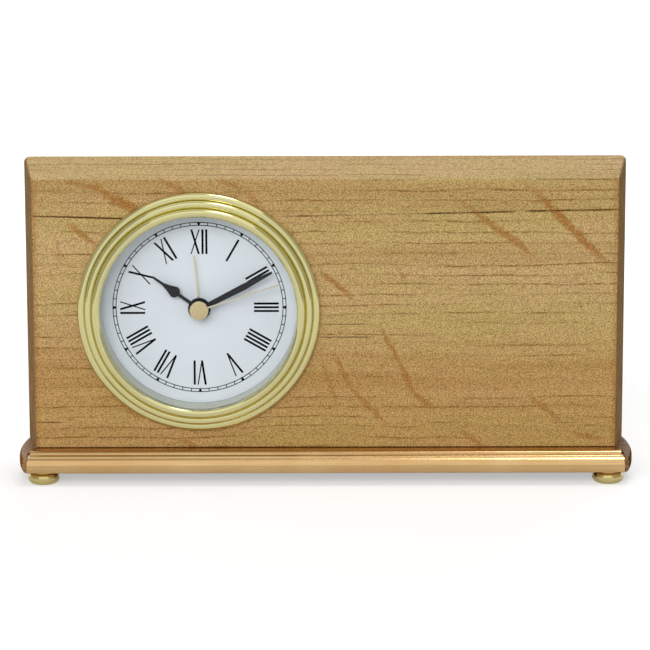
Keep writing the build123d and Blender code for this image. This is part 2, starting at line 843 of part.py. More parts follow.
def second_hand():
    tip = (second_tip_half_width, second_hand_length)
    outline = [Polyline((0, 0), (second_hand_half_width, 0), tip, (0, second_hand_length))]
    hand = blade(outline, second_hand_thickness, cap_back, second_hand_angle)
    hand += rod(cap_diameter / 2, cap_back, cap_front)
    return hand - rod(arbor_radius, cap_back - overrun, cap_front - cap_thickness / 2)


def alarm_hand():
    tip = (alarm_tip_half_width, alarm_hand_length)
    outline = [Polyline((0, 0), (alarm_hand_half_width, 0), tip, (0, alarm_hand_length))]
    hand = blade(outline, alarm_hand_thickness, alarm_hand_back, alarm_hand_angle)
    hand += rod(alarm_tube_radius + alarm_hub_wall, alarm_hand_back, alarm_hand_front)
    return hand - rod(alarm_tube_radius, alarm_hand_back - overrun, alarm_hand_front + overrun)


# Motor and electrics


def stator():
    sheet = slab(stator_width, stator_length, core_front, middle_plate_back, rotor_at)
    hole = magnet_diameter / 2 + magnet_play
    return sheet - rod(hole, core_front - overrun, middle_plate_back + overrun, rotor_at)


def coil_core():
    back = core_front - stator_thickness
    bar = slab(core_width, stator_length, back, core_front, coil_at)
    tab_left = coil_at[0] - core_width / 2
    tab_right = rotor_at[0] - stator_width / 2 + core_lap
    tab_y = (stator_length - core_width) / 2
    for side in (-1, 1):
        middle = ((tab_left + tab_right) / 2, coil_at[1] + side * tab_y)
        bar += slab(tab_right - tab_left, core_width, back, core_front, middle)
    return bar


def coil_turned(radius, length, middle_y):
    # a cylinder along the core's length
    return Pos(coil_at[0], middle_y, core_level) * Rot(90, 0, 0) * Cylinder(radius, length)


bobbin_radius = math.hypot(core_width, stator_thickness) / 2 + bobbin_wall
bobbin_inner_length = bobbin_length - 2 * bobbin_wall


def coil_bobbin():
    spool = coil_turned(bobbin_radius, bobbin_length, coil_at[1])
    for side in (-1, 1):
        flange_y = coil_at[1] + side * (bobbin_length - bobbin_wall) / 2
        spool += coil_turned(bobbin_flange_diameter / 2, bobbin_wall, flange_y)
    hole = slab(core_width, bobbin_length + 2 * overrun, core_front - stator_thickness, core_front, coil_at)
    return spool - hole


def coil_winding():
    pack = coil_turned(bobbin_flange_diameter / 2 - winding_margin, bobbin_inner_length, coil_at[1])
    return pack - coil_turned(bobbin_radius, bobbin_length, coil_at[1])


def circuit_board():
    return slab(board_width, board_height, board_back, board_front, board_at)


def control_chip():
    return rod(chip_diameter / 2, board_back - chip_height, board_back, board_at)


def quartz_crystal():
    place = Pos(board_at[0], board_at[1], board_front + crystal_diameter / 2)
    return place * Rot(90, 0, 0) * Cylinder(crystal_diameter / 2, crystal_length)


def buzzer():
    return rod(buzzer_diameter / 2, cover_face, cover_face + buzzer_height, buzzer_at)


def battery():
    length = Align.CENTER, Align.CENTER, Align.MIN
    cell = Cylinder(battery_diameter / 2, battery_length, align=length)
    cell += Pos(0, 0, battery_length) * Cylinder(battery_nub_diameter / 2, battery_nub_length, align=length)
    start = battery_at[0] - (battery_length + battery_nub_length) / 2
    return Pos(start, battery_at[1], battery_level) * Rot(0, 90, 0) * cell


def contact(side):
    # a bent strip: an upright against the cell's end and a foot on the case floor
    end_x = battery_at[0] + side * (battery_length + battery_nub_length) / 2
    upright_x = end_x + side * contact_thickness / 2
    foot_x = end_x + side * contact_foot / 2
    upright_back = floor_back - contact_height
    strip = slab(contact_thickness, contact_width, upright_back, floor_back, (upright_x, battery_at[1]))
    foot_back = floor_back - contact_thickness
    return strip + slab(contact_foot, contact_width, foot_back, floor_back, (foot_x, battery_at[1]))


# Back of the insert


switch_slot_width = switch_stem_width + switch_travel + 2 * running_gap
switch_slot_at = (switch_at[0] + switch_travel / 2, switch_at[1])


def rear_cover():
    cover = rod(case_radius, cover_back, cover_face)
    back, front = cover_back - overrun, cover_face + overrun
    for place in boss_places:
        cover -= rod(small_screw_radius, back, front, place)
    for place in (time_knob_at, alarm_knob_at):
        cover -= rod(knob_shaft_radius + running_gap, back, front, place)
    opening = (door_width - 2 * door_lap, door_height - 2 * door_lap)
    cover -= slab(*opening, back, front, battery_at)
    slot_height = switch_stem_height + 2 * running_gap
    cover -= slab(switch_slot_width, slot_height, back, front, switch_slot_at)
    cover -= rod(sound_hole_diameter / 2, back, front, buzzer_at)
    for number in range(sound_hole_count):
        place = polar(sound_ring_share * buzzer_diameter, number * 360 / sound_hole_count, buzzer_at)
        cover -= rod(sound_hole_diameter / 2, back, front, place)
    lip_face = door_back - door_play
    lip_end = lip_face - rail_lip_thickness
    for side in (-1, 1):
        web_y = battery_at[1] + side * (door_height / 2 + door_play + rail_width / 2)
        cover += slab(door_width, rail_width, lip_end, cover_back, (battery_at[0], web_y))
        lip_y = web_y - side * rail_lip / 2
        cover += slab(door_width, rail_width + rail_lip, lip_end, lip_face, (battery_at[0], lip_y))
    return cover


def battery_door():
    door = slab(door_width, door_height, door_back, door_front, battery_at)
    for number in range(grip_rib_count):
        shift = (number - (grip_rib_count - 1) / 2) * grip_rib_pitch
        place = (battery_at[0] + shift, battery_at[1])
        rib_height = grip_rib_share * door_height
        door += slab(grip_rib_width, rib_height, door_back - grip_rib_height, door_back, place)
    return door


def knob(diameter, pinion, place):
    head_front = cover_back - knob_gap
    head_back = head_front - knob_height
    radius = diameter / 2
    rim = []
    for number in range(2 * flute_count):
        reach = radius if number % 2 else flute_share * radius
        angle = math.pi * number / flute_count
        rim.append((place[0] + reach * math.cos(angle), place[1] + reach * math.sin(angle)))
    head = profile_solid(rim, head_back, head_front)
    shaft = rod(knob_shaft_radius, head_front, floor_back + pivot_depth, place)
    return head + shaft + pinion


def time_set_knob():
    pinion = wheel(time_knob_teeth, motion_module, motion_level, time_knob_at, time_knob_phase)
    return knob(time_knob_diameter, pinion, time_knob_at)


def alarm_set_knob():
    pinion = wheel(alarm_knob_teeth, alarm_module, alarm_level, alarm_knob_at, alarm_knob_phase)
    return knob(alarm_knob_diameter, pinion, alarm_knob_at)


def alarm_switch():
    plate_back = cover_face + running_gap
    plate_front = plate_back + switch_plate_thickness
    nub_front = cover_back - running_gap
    nub_back = nub_front - switch_nub_height
    slider = slab(switch_plate_width, switch_plate_height, plate_back, plate_front, switch_at)
    slider += slab(switch_stem_width, switch_stem_height, nub_front, plate_back, switch_at)
    nub_height = switch_stem_height + 2 * switch_nub_lap
    return slider + slab(switch_stem_width, nub_height, nub_back, nub_front, switch_at)


wooden_pieces = {
    "clock_block": clock_block(),
    "base_board": base_board(),
    "base_molding": base_molding(),
    "block_screws": group(block_screw(place) for place in block_screw_places),
    "foot_screws": group(foot_screw(place) for place in foot_places.values()),
    **{name: foot(place) for name, place in foot_places.items()},
}
insert_pieces = {
    "bezel": bezel(),
    "lens": lens(),
    "dial_ring": dial_ring(),
    "dial": dial(),
    "grip_band": grip_band(),
    "insert_case": insert_case(),
    "middle_plate": middle_plate(),
    "rear_plate": rear_plate(),
    "plate_screws": plate_screws(),
    "second_wheel": second_wheel(),
    "third_wheel": third_wheel(),
    "center_wheel": center_wheel(),
    "minute_cannon": minute_cannon(),
    "motion_wheel": motion_wheel(),
    "hour_wheel": hour_wheel(),
    "alarm_wheel": alarm_wheel(),
    "intermediate_wheel": intermediate_wheel(),
    "rotor": rotor(),
    "rotor_magnet": rotor_magnet(),
    "hour_hand": hour_hand(),
    "minute_hand": minute_hand(),
    "second_hand": second_hand(),
    "alarm_hand": alarm_hand(),
    "stator": stator(),
    "coil_core": coil_core(),
    "coil_bobbin": coil_bobbin(),
    "coil_winding": coil_winding(),
    "circuit_board": circuit_board(),
    "control_chip": control_chip(),
    "quartz_crystal": quartz_crystal(),
    "buzzer": buzzer(),
    "battery": battery(),
    "positive_contact": contact(1),
    "negative_contact": contact(-1),
    "rear_cover": rear_cover(),
    "cover_screws": cover_screws(),
    "battery_door": battery_door(),
    "time_set_knob": time_set_knob(),
    "alarm_set_knob": alarm_set_knob(),
    "alarm_switch": alarm_switch(),
}

os.makedirs("parts", exist_ok=True)
for name, piece in wooden_pieces.items():
    export_step(piece, f"parts/{name}.step")
for name, piece in insert_pieces.items():
    export_step(in_insert(piece), f"parts/{name}.step")
for name, place in (
    ("third", third_at),
    ("motion", motion_at),
    ("time knob", time_knob_at),
    ("alarm knob", alarm_knob_at),
    ("intermediate", intermediate_at),
    ("rotor", rotor_at),
):
    print(f"{name} axis at x {place[0] - dial_offset:.4f}, z {place[1] + dial_z:.4f}")
print(f"dial axis at x {-dial_offset:.4f}, z {dial_z:.4f}, wood face at y {face_y:.4f}")
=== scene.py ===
import cmath
import math
import bmesh
import bpy
from mathutils import Matrix, Vector
from types import SimpleNamespace


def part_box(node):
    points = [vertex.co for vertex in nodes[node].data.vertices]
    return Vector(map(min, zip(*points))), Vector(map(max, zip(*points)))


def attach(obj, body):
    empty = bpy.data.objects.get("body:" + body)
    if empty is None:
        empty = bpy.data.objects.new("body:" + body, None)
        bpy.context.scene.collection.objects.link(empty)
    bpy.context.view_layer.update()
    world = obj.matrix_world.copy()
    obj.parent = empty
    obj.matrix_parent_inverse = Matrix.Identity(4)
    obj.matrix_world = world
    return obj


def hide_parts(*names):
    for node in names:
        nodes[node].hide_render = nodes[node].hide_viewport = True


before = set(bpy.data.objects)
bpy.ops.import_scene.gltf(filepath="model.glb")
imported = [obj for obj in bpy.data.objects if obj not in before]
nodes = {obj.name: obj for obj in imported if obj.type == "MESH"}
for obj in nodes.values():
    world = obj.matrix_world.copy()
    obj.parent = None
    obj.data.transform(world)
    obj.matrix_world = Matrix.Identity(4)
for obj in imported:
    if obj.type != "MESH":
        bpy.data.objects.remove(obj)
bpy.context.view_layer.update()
mm = 0.001
same = 0.01 * mm  # places closer than this count as one
cornerShare = 0.3  # how far the middle of an eased corner lies in from both faces, as a share of the easing
print("frame loaded with", len(nodes), "nodes")

bezelLow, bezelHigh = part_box("bezel")
dialMiddle = Vector(((bezelLow.x + bezelHigh.x) / 2, bezelHigh.y, (bezelLow.z + bezelHigh.z) / 2))
rightwards, upwards = Vector((1, 0, 0)), Vector((0, 0, 1))
backwards, towardsViewer = Vector((0, 1, 0)), Vector((0, -1, 0))


def named(values):  # sizes read as attributes
    return SimpleNamespace(**values)


# Working in edit mode

def clearSelection():
    if bpy.context.mode != "OBJECT":
        bpy.ops.object.mode_set(mode="OBJECT")
    bpy.ops.object.select_all(action="DESELECT")


def workOn(piece):
    clearSelection()
    piece.select_set(True)
    bpy.context.view_layer.objects.active = piece


def startEdit(piece):
    workOn(piece)
    bpy.ops.object.mode_set(mode="EDIT")
    bpy.ops.mesh.select_mode(type="VERT")
    bpy.ops.mesh.select_all(action="SELECT")


def endEdit():
    bpy.ops.object.mode_set(mode="OBJECT")


def pick(piece, kind, test):
    bpy.ops.mesh.select_mode(type=kind)
    bpy.ops.mesh.select_all(action="DESELECT")
    mesh = bmesh.from_edit_mesh(piece.data)
    for element in {"VERT": mesh.verts, "EDGE": mesh.edges, "FACE": mesh.faces}[kind]:
        if test(element):
            element.select_set(True)
    mesh.select_flush_mode()
    bmesh.update_edit_mesh(piece.data)


def bevelPicked(offset, segments):
    bpy.ops.mesh.bevel(offset=offset * mm, segments=segments, profile=0.5, affect="EDGES")


def newPiece(name):
    piece = bpy.context.active_object
    piece.name = name
    piece.data.name = name
    return piece


def settle(piece):  # the place goes into the mesh
    workOn(piece)
    bpy.ops.object.transform_apply(location=True, rotation=True, scale=True)


def smooth(piece, degrees=35):
    workOn(piece)
    bpy.ops.object.shade_smooth_by_angle(angle=math.radians(degrees))


def useModifier(piece, kind, **settings):
    workOn(piece)
    modifier = piece.modifiers.new(kind.lower(), kind)
    for name, value in settings.items():
        setattr(modifier, name, value)
    bpy.ops.object.modifier_apply(modifier=modifier.name)


def combine(piece, tool, operation):
    useModifier(piece, "BOOLEAN", operation=operation, solver="EXACT", object=tool)
    bpy.data.objects.remove(tool, do_unlink=True)


def cutAway(piece, cutter):
    combine(piece, cutter, "DIFFERENCE")


def roundEdges(piece, width, segments=2, degrees=40):
    useModifier(piece, "BEVEL", width=width * mm, segments=segments, limit_method="ANGLE",
                angle_limit=math.radians(degrees), use_clamp_overlap=True)


def evenNormals(piece, degrees=40, weight=80):
    smooth(piece, degrees)
    useModifier(piece, "WEIGHTED_NORMAL", keep_sharp=True, weight=weight)


def polar(reach, degrees):
    turn = math.radians(degrees)
    return reach * math.cos(turn), reach * math.sin(turn)


def arcThrough(start, middle, end, count):
    a, b, c = (complex(*place) for place in (start, middle, end))
    ratio = (c - a) / (b - a)
    centre = a + (b - a) * (ratio - abs(ratio) ** 2) / (2j * ratio.imag)
    spoke, circle = a - centre, 2 * math.pi
    turn = cmath.phase((c - centre) / spoke) % circle
    if cmath.phase((b - centre) / spoke) % circle > turn:
        turn -= circle
    places = [centre + spoke * cmath.exp(1j * turn * number / count) for number in range(count + 1)]
    return [(place.real, place.imag) for place in places]


def easedCorner(radius, end, ease):  # ease is below 0 where the end faces the viewer
    part = cornerShare * ease
    return [(radius, end + ease), (radius - abs(part), end + part), (radius - abs(ease), end)]


def turnedPiece(name, outline, steps, origin=dialMiddle, along=towardsViewer):
    # outline holds (radius, height) pairs in millimetres, height counted along the axis
    places = [origin + rightwards * radius * mm + along * height * mm for radius, height in outline]
    clearSelection()
    bpy.ops.mesh.primitive_plane_add(size=mm, location=(0, 0, 0))
    piece = newPiece(name)
    startEdit(piece)
    bpy.ops.mesh.merge(type="CENTER")
    bpy.ops.transform.translate(value=places[0])
    for before, after in zip(places, places[1:]):
        bpy.ops.mesh.extrude_region_move(TRANSFORM_OT_translate={"value": after - before})
    bpy.ops.mesh.select_all(action="SELECT")
    bpy.ops.mesh.spin(steps=steps, angle=2 * math.pi, center=origin, axis=along)
    bpy.ops.mesh.select_all(action="SELECT")
    bpy.ops.mesh.remove_doubles(threshold=same / 5)
    bpy.ops.mesh.normals_make_consistent(inside=False)
    endEdit()
    return piece


def flatPiece(name, outline, thickness, across, up, origin):
    # a closed outline in millimetres, drawn on two directions and thickened along their normal
    clearSelection()
    bpy.ops.mesh.primitive_circle_add(vertices=len(outline), radius=1, fill_type="NGON")
    piece = newPiece(name)
    startEdit(piece)
    mesh = bmesh.from_edit_mesh(piece.data)
    mesh.verts.ensure_lookup_table()
    for vertex, (x, y) in zip(mesh.verts, outline):
        vertex.co = origin + across * x * mm + up * y * mm
    bmesh.update_edit_mesh(piece.data)
    bpy.ops.mesh.extrude_region_move(TRANSFORM_OT_translate={"value": across.cross(up) * thickness * mm})
    bpy.ops.mesh.select_all(action="SELECT")
    bpy.ops.mesh.normals_make_consistent(inside=False)
    endEdit()
    return piece


def boxPiece(name, low, high):
    clearSelection()
    bpy.ops.mesh.primitive_cube_add(size=1, location=(low + high) / 2)
    box = newPiece(name)
    box.scale = high - low
    settle(box)
    return box


def rodPiece(radius, depth, place, count):
    turn = towardsViewer.to_track_quat("Z", "Y").to_euler()
    bpy.ops.mesh.primitive_cylinder_add(vertices=count, radius=radius * mm, depth=depth * mm,
                                        location=place, rotation=turn)
    rod = newPiece("rod")
    settle(rod)
    return rod


def joined(name, first, *others):
    clearSelection()
    for piece in (first, *others):
        piece.select_set(True)
    bpy.context.view_layer.objects.active = first
    bpy.ops.object.join()
    return newPiece(name)


def atDial(x, y, level):  # millimetres right, up and in front of the dial's middle on the wood
    return dialMiddle + Vector((x, -level, y)) * mm


def keep(piece, body, slotName, *replaced, finish=None):
    if not piece.data.materials:
        piece.data.materials.append(materials[finish or slotName])
    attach(piece, body)
    if replaced:
        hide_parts(*replaced)


# Working with material nodes

trees = []  # the last one is being filled
# detail and roughness of each noise, and the part of its range that is used most
softNoise, poreNoise, layerNoise = (2.0, 0.5), (2.0, 0.6), (3.0, 0.6)
fineNoise, speckNoise = (4.0, 0.6), (0.0, 0.5)
noiseMiddle = (0.3, 0.7)


def ink(red, green, blue):  # screen colour 0 to 255
    shares = [value / 255 for value in (red, green, blue)]
    return (*[s / 12.92 if s <= 10 / 255 else ((s + 0.055) / 1.055) ** 2.4 for s in shares], 1.0)


def feed(socket, value):
    if isinstance(value, bpy.types.NodeSocket):
        trees[-1].links.new(value, socket)
    else:
        socket.default_value = value


def addNode(kind, inputs=None, **settings):
    node = trees[-1].nodes.new(kind)
    for name, value in settings.items():
        setattr(node, name, value)
    for name, value in (inputs or {}).items():
        feed(node.inputs[name], value)
    return node


def calc(operation, *values):
    node = addNode("ShaderNodeMath", operation=operation)
    for socket, value in zip(node.inputs, values):
        feed(socket, value)
    return node.outputs[0]


def times(first, *others):
    for other in others:
        first = calc("MULTIPLY", first, other)
    return first


def plus(first, second):
    return calc("ADD", first, second)


def gap(first, second):
    return calc("ABSOLUTE", calc("SUBTRACT", first, second))


def vectorCalc(operation, first, second=(0, 0, 0)):
    node = addNode("ShaderNodeVectorMath", {0: first, 1: second}, operation=operation)
    return node.outputs["Value" if operation == "LENGTH" else "Vector"]


def scaled(vector, factor):
    return addNode("ShaderNodeVectorMath", {0: vector, "Scale": factor}, operation="SCALE").outputs[0]


def blend(factor, first, second, mode="MIX"):
    node = addNode("ShaderNodeMix", data_type="RGBA", blend_type=mode)
    for place, value in ((0, factor), (6, first), (7, second)):
        feed(node.inputs[place], value)
    return node.outputs[2]


def fade(value, span, results=(0.0, 1.0)):
    inputs = dict(zip(("Value", "From Min", "From Max", "To Min", "To Max"), (value, *span, *results)))
    return addNode("ShaderNodeMapRange", inputs, interpolation_type="SMOOTHSTEP").outputs[0]


def fadeAlong(place, start, end, results=(0.0, 1.0)):  # start and end in millimetres
    return fade(place, (start * mm, end * mm), results)


def grain(coords, perMetre, noise):
    spread = addNode("ShaderNodeMapping", {"Vector": coords, "Scale": perMetre})
    inputs = {"Vector": spread.outputs[0], "Scale": 1.0, "Detail": noise[0], "Roughness": noise[1]}
    return addNode("ShaderNodeTexNoise", inputs).outputs[0]


def patchwork(coords, perMetre, noise, span, results=(0.0, 1.0)):
    return fade(grain(coords, perMetre, noise), span, results)


def newMaterial(name):
    material = bpy.data.materials.new(name)
    material.use_nodes = True
    trees.append(material.node_tree)
    coords = addNode("ShaderNodeTexCoord").outputs["Object"]
    return material, material.node_tree.nodes["Principled BSDF"], coords


def setShader(shader, **values):
    for name, value in values.items():
        feed(shader.inputs[name.replace("_", " ")], value)


def addBump(shader, height, distance, strength):
    bump = addNode("ShaderNodeBump", {"Height": height, "Distance": distance * mm, "Strength": strength})
    feed(shader.inputs["Normal"], bump.outputs[0])


# Wood: speckle, rows of short pores, ray flecks and dark seams at listed places

blockWood = {
    "name": "honeyWood",
    # upper tints the painted light on the upper half of the board
    "warm": (181, 143, 90), "olive": (175, 143, 83), "tan": (163, 124, 70), "upper": (1.05, 1.18, 1.36, 1.0),
    # seam colours the dark seams and also the painted shadow along the face's foot
    "pore": (128, 86, 36), "fleck": (153, 104, 47), "seam": (72, 36, 4), "rim": (150, 96, 34),
    "end": (160, 130, 92), "endDark": (126, 96, 62),
    "wobblePerMetre": (14.0, 22.0, 26.0), "wobble": 1.3, "lean": 0.55, "seamWobble": 0.25,
    "patchesPerMetre": (16.0, 40.0, 70.0), "patchSpan": (0.36, 0.64),
    "bands": ((5.0, 60.0, 150.0), layerNoise, (0.42, 0.7), (0.0, 0.75)),
    "poresPerMetre": (420.0, 900.0, 1900.0), "poreFade": ((0.38, 0.56), (0.3, 0.9)),
    "strayFade": ((0.6, 0.74), (0.0, 0.7)), "rowPitch": 3.9, "rowDrift": 1.2,
    "rowFade": ((0.02, 0.14), (1.0, 0.0)), "stretches": ((20.0, 60.0, 240.0), poreNoise, (0.4, 0.62)),
    "tearsPerMetre": 420.0, "tearNoise": (3.0, 0.65), "tear": 3.2, "fleckSpan": (0.5, 1.5),
    "fleckThrough": 10.0, "streakyFade": ((0.35, 0.6), (0.75, 1.0)),
    "seamSpan": (0.3, 1.2), "seamStart": (-2.0, 3.0), "seamEnd": (-3.0, 2.0),
    "seamPatches": ((55.0, 40.0, 40.0), layerNoise, (0.4, 0.58)),
    "endSpan": (0.5, 0.8), "streaks": ((300.0, 1100.0, 130.0), layerNoise, (0.36, 0.66)),
    "specks": ((1750.0, 1800.0, 2900.0), speckNoise, noiseMiddle, (0.67, 1.33)),
    # tones along one direction: start and end in millimetres, strength there; the upper, foot and side ones
    # are painted light and shade
    "upperReach": (36.0, 66.0, (0.0, 1.0)), "frontReach": (-8.6, -7.6, (1.0, 0.0)),
    "rimReach": (105.6, 108.3, (0.0, 0.5)), "footReach": (12.75, 13.1, (0.95, 0.0)),
    "sideReach": (-100.0, 100.0, (1.0, 0.98)),
    "roughness": (0.4, 0.56), "specular": (0.16, 0.0), "relief": 0.05, "reliefStrength": 0.2,
    # middle x, middle z, length, width, slope in degrees, strength
    "flecks": (
        (-91.8, 112.8, 7.4, 1.6, -9, 0.8), (-85.5, 111.6, 7.0, 1.9, -6, 0.8),
        (-80.3, 108.8, 10.0, 1.9, -32, 0.8), (-74.4, 105.4, 14.1, 3.7, -25, 0.95),
        (-56.3, 112.0, 11.0, 2.2, -26, 0.6), (-34.8, 112.5, 7.7, 1.9, -17, 0.6),
        (-26.2, 106.7, 7.5, 2.2, -34, 0.6), (-89.8, 93.9, 12.4, 2.2, -37, 0.75),
        (-97.8, 85.8, 3.8, 1.5, -17, 0.5), (3.8, 75.0, 14.6, 2.2, -41, 0.85),
        (28.4, 78.1, 4.0, 1.5, -49, 0.55), (64.2, 95.0, 33.9, 2.2, -37, 0.8),
        (70.0, 91.2, 12.0, 2.6, -37, 0.8), (90.0, 96.8, 38.4, 3.0, -45, 0.95),
        (24.2, 51.4, 16.0, 1.9, -62, 0.75), (30.2, 39.4, 14.3, 2.2, -65, 0.8),
        (35.4, 31.3, 11.3, 2.2, -38, 0.8), (6.5, 41.5, 14.5, 1.9, -67, 0.7),
        (15.5, 29.0, 20.1, 1.9, -47, 0.75), (1.3, 37.7, 14.2, 1.9, -70, 0.5),
        (81.3, 27.9, 14.8, 1.9, -40, 0.65), (55.1, 15.5, 12.2, 1.9, -39, 0.65),
        (97.1, 17.0, 11.7, 1.9, -15, 0.65), (-72.8, 26.4, 9.4, 2.2, -38, 0.6),
        (-50.6, 13.8, 8.4, 1.9, -28, 0.6),
    ),
    # dark seams: height at the middle, slope, half width, first x, last x, strength, evenness
    "seams": (
        (97.7, -0.0276, 0.42, -113.0, -60.0, 1.0, 0.8), (100.75, 0.0199, 0.36, -16.0, 36.0, 0.85, 0.25),
        (100.75, 0.0199, 0.42, 36.0, 70.0, 1.0, 0.7), (100.75, 0.0199, 0.4, 74.0, 113.0, 0.9, 0.5),
        (54.7, 0.0, 0.34, -3.0, 17.0, 0.7, 0.4), (59.6, 0.0, 0.3, -2.0, 16.0, 0.6, 0.3),
        (22.4, 0.0, 0.36, -108.0, -98.0, 0.7, 0.5), (22.1, 0.0, 0.32, 38.0, 49.5, 0.65, 0.4),
        (22.0, 0.0, 0.32, 85.0, 94.0, 0.65, 0.4), (114.1, 0.0, 0.3, 62.0, 106.0, 0.4, 0.2),
    ),
}
baseWood = {
    **blockWood, "name": "plinthWood",
    "warm": (143, 108, 76), "olive": (136, 101, 66), "tan": (124, 87, 54), "pore": (98, 63, 33),
    "end": (130, 90, 52), "endDark": (98, 63, 33), "flecks": (), "seams": (),
    # no painted shadow along its foot, and stronger painted light from side to side
    "rimReach": (200.0, 210.0, (0.0, 0.5)), "footReach": (-2.0, -1.0, (0.95, 0.0)),
    "sideReach": (-100.0, 100.0, (1.22, 0.7)),
}


def fleckMask(look, coords):  # flecks with ragged edges
    inputs = {"Vector": coords, "Scale": look.tearsPerMetre, "Detail": look.tearNoise[0],
              "Roughness": look.tearNoise[1]}
    ragged = addNode("ShaderNodeTexNoise", inputs).outputs["Color"]
    push = scaled(vectorCalc("SUBTRACT", ragged, (0.5, 0.5, 0.5)), look.tear * mm)
    torn = vectorCalc("ADD", coords, push)
    flecks = 0.0
    for x, z, length, width, slope, strength in look.flecks:
        inputs = {"Vector": torn, "Location": (x * mm, 0, z * mm), "Rotation": (0, math.radians(-slope), 0),
                  "Scale": (length / 2 * mm, look.fleckThrough, width / 2 * mm)}
        unit = addNode("ShaderNodeMapping", inputs, vector_type="TEXTURE").outputs[0]
        reach = vectorCalc("LENGTH", unit)
        flecks = calc("MAXIMUM", fade(reach, look.fleckSpan, (strength, 0.0)), flecks)
    return flecks


def seamMask(look, seam, coords, alongX, level):
    z, slope, halfWidth, first, last, strength, evenness = seam
    path = plus(times(alongX, slope), z * mm)
    start, end = (share * halfWidth for share in look.seamSpan)
    mark = fadeAlong(gap(level, path), start, end, (strength, 0.0))
    begin = fadeAlong(alongX, *(first + shift for shift in look.seamStart))
    stop = fadeAlong(alongX, *(last + shift for shift in look.seamEnd), (1.0, 0.0))
    return times(mark, begin, stop, patchwork(coords, *look.seamPatches, (evenness, 1.0)))


def woodMaterial(look):
    material, shader, coords = newMaterial(look.name)
    split = addNode("ShaderNodeSeparateXYZ", {0: coords})
    alongX, depth, level = (split.outputs[axis] for axis in "XYZ")
    wave = grain(coords, look.wobblePerMetre, softNoise)
    lift = times(calc("SUBTRACT", wave, 0.5), 2 * look.wobble * mm)
    layer = plus(plus(level, lift), times(depth, look.lean))
    bent = addNode("ShaderNodeCombineXYZ", {"X": alongX, "Y": depth, "Z": layer}).outputs[0]

    # colour drifts over the board, with soft bands along it
    patches = grain(coords, look.patchesPerMetre, layerNoise)
    colour = blend(fade(patches, look.patchSpan), ink(*look.olive), ink(*look.warm))
    colour = blend(patchwork(bent, *look.bands), colour, ink(*look.tan))

    # painted light: the upper half of the board is lighter and yellower, as where more light falls from above
    upperLight = fadeAlong(level, *look.upperReach)
    colour = blend(upperLight, colour, blend(1.0, colour, look.upper, "MULTIPLY"))

    # rows of short dark pores a few millimetres apart, with stray ones between
    pores = grain(bent, look.poresPerMetre, poreNoise)
    turns = plus(calc("DIVIDE", layer, look.rowPitch * mm), times(patches, look.rowDrift))
    row = fade(gap(calc("FRACT", turns), 0.5), *look.rowFade)
    inRow = times(row, patchwork(bent, *look.stretches), fade(pores, *look.poreFade))
    stray = fade(pores, *look.strayFade)
    colour = blend(calc("MAXIMUM", inRow, stray), colour, ink(*look.pore))

    if look.flecks:
        flecks = times(fleckMask(look, coords), fade(pores, *look.streakyFade))
        colour = blend(flecks, colour, ink(*look.fleck))
    seamLevel = plus(level, times(lift, look.seamWobble))
    for seam in look.seams:
        mark = seamMask(look, seam, coords, alongX, seamLevel)
        colour = blend(mark, colour, ink(*look.seam))

    # the face is darker at its sides; a painted shadow line, in the seams' dark colour, runs along its foot
    # where it meets the nosing
    atFront = fadeAlong(depth, *look.frontReach)
    rim = fadeAlong(calc("ABSOLUTE", alongX), *look.rimReach)
    colour = blend(times(rim, atFront), colour, ink(*look.rim))
    foot = fadeAlong(level, *look.footReach)
    colour = blend(times(foot, atFront), colour, ink(*look.seam))

    # end grain is darker, streaked from front to back
    normal = addNode("ShaderNodeNewGeometry").outputs["True Normal"]
    facing = addNode("ShaderNodeSeparateXYZ", {0: normal}).outputs["X"]
    ends = fade(calc("ABSOLUTE", facing), look.endSpan)
    endColour = blend(patchwork(coords, *look.streaks), ink(*look.end), ink(*look.endDark))
    colour = blend(ends, colour, endColour)

    # fine speckle over all of it, and painted light from side to side: the left end lighter, the right end
    # darker
    shade = times(patchwork(coords, *look.specks), fadeAlong(alongX, *look.sideReach))
    setShader(shader, Base_Color=scaled(colour, shade),
              Roughness=fade(pores, noiseMiddle, look.roughness),
              Specular_IOR_Level=fade(ends, (0.0, 1.0), look.specular))
    addBump(shader, pores, look.relief, look.reliefStrength)
    return material


# Sizes of the glass and of the wall round the dial, whose finish carries a painted shadow at its foot

insertSize = {"lensRadius": 38.0, "lensBack": 2.4, "lensFront": 4.1, "lensEase": 0.3, "lensSteps": 128,
              "wallOuter": 37.4, "wallInner": 36.5, "wallEase": 0.15, "wallSteps": 160, "dialFace": -7.5,
              "smoothing": 30}

# Every other finish: two close colours, a spread of roughness, size of its marks in millimetres, relief

finishLook = {"even": (1.0, 1.0, 1.0), "broadPerMetre": (55.0, 55.0, 55.0), "span": (0.35, 0.65),
              "share": 0.5, "specular": 0.5, "reliefStrength": 0.3}


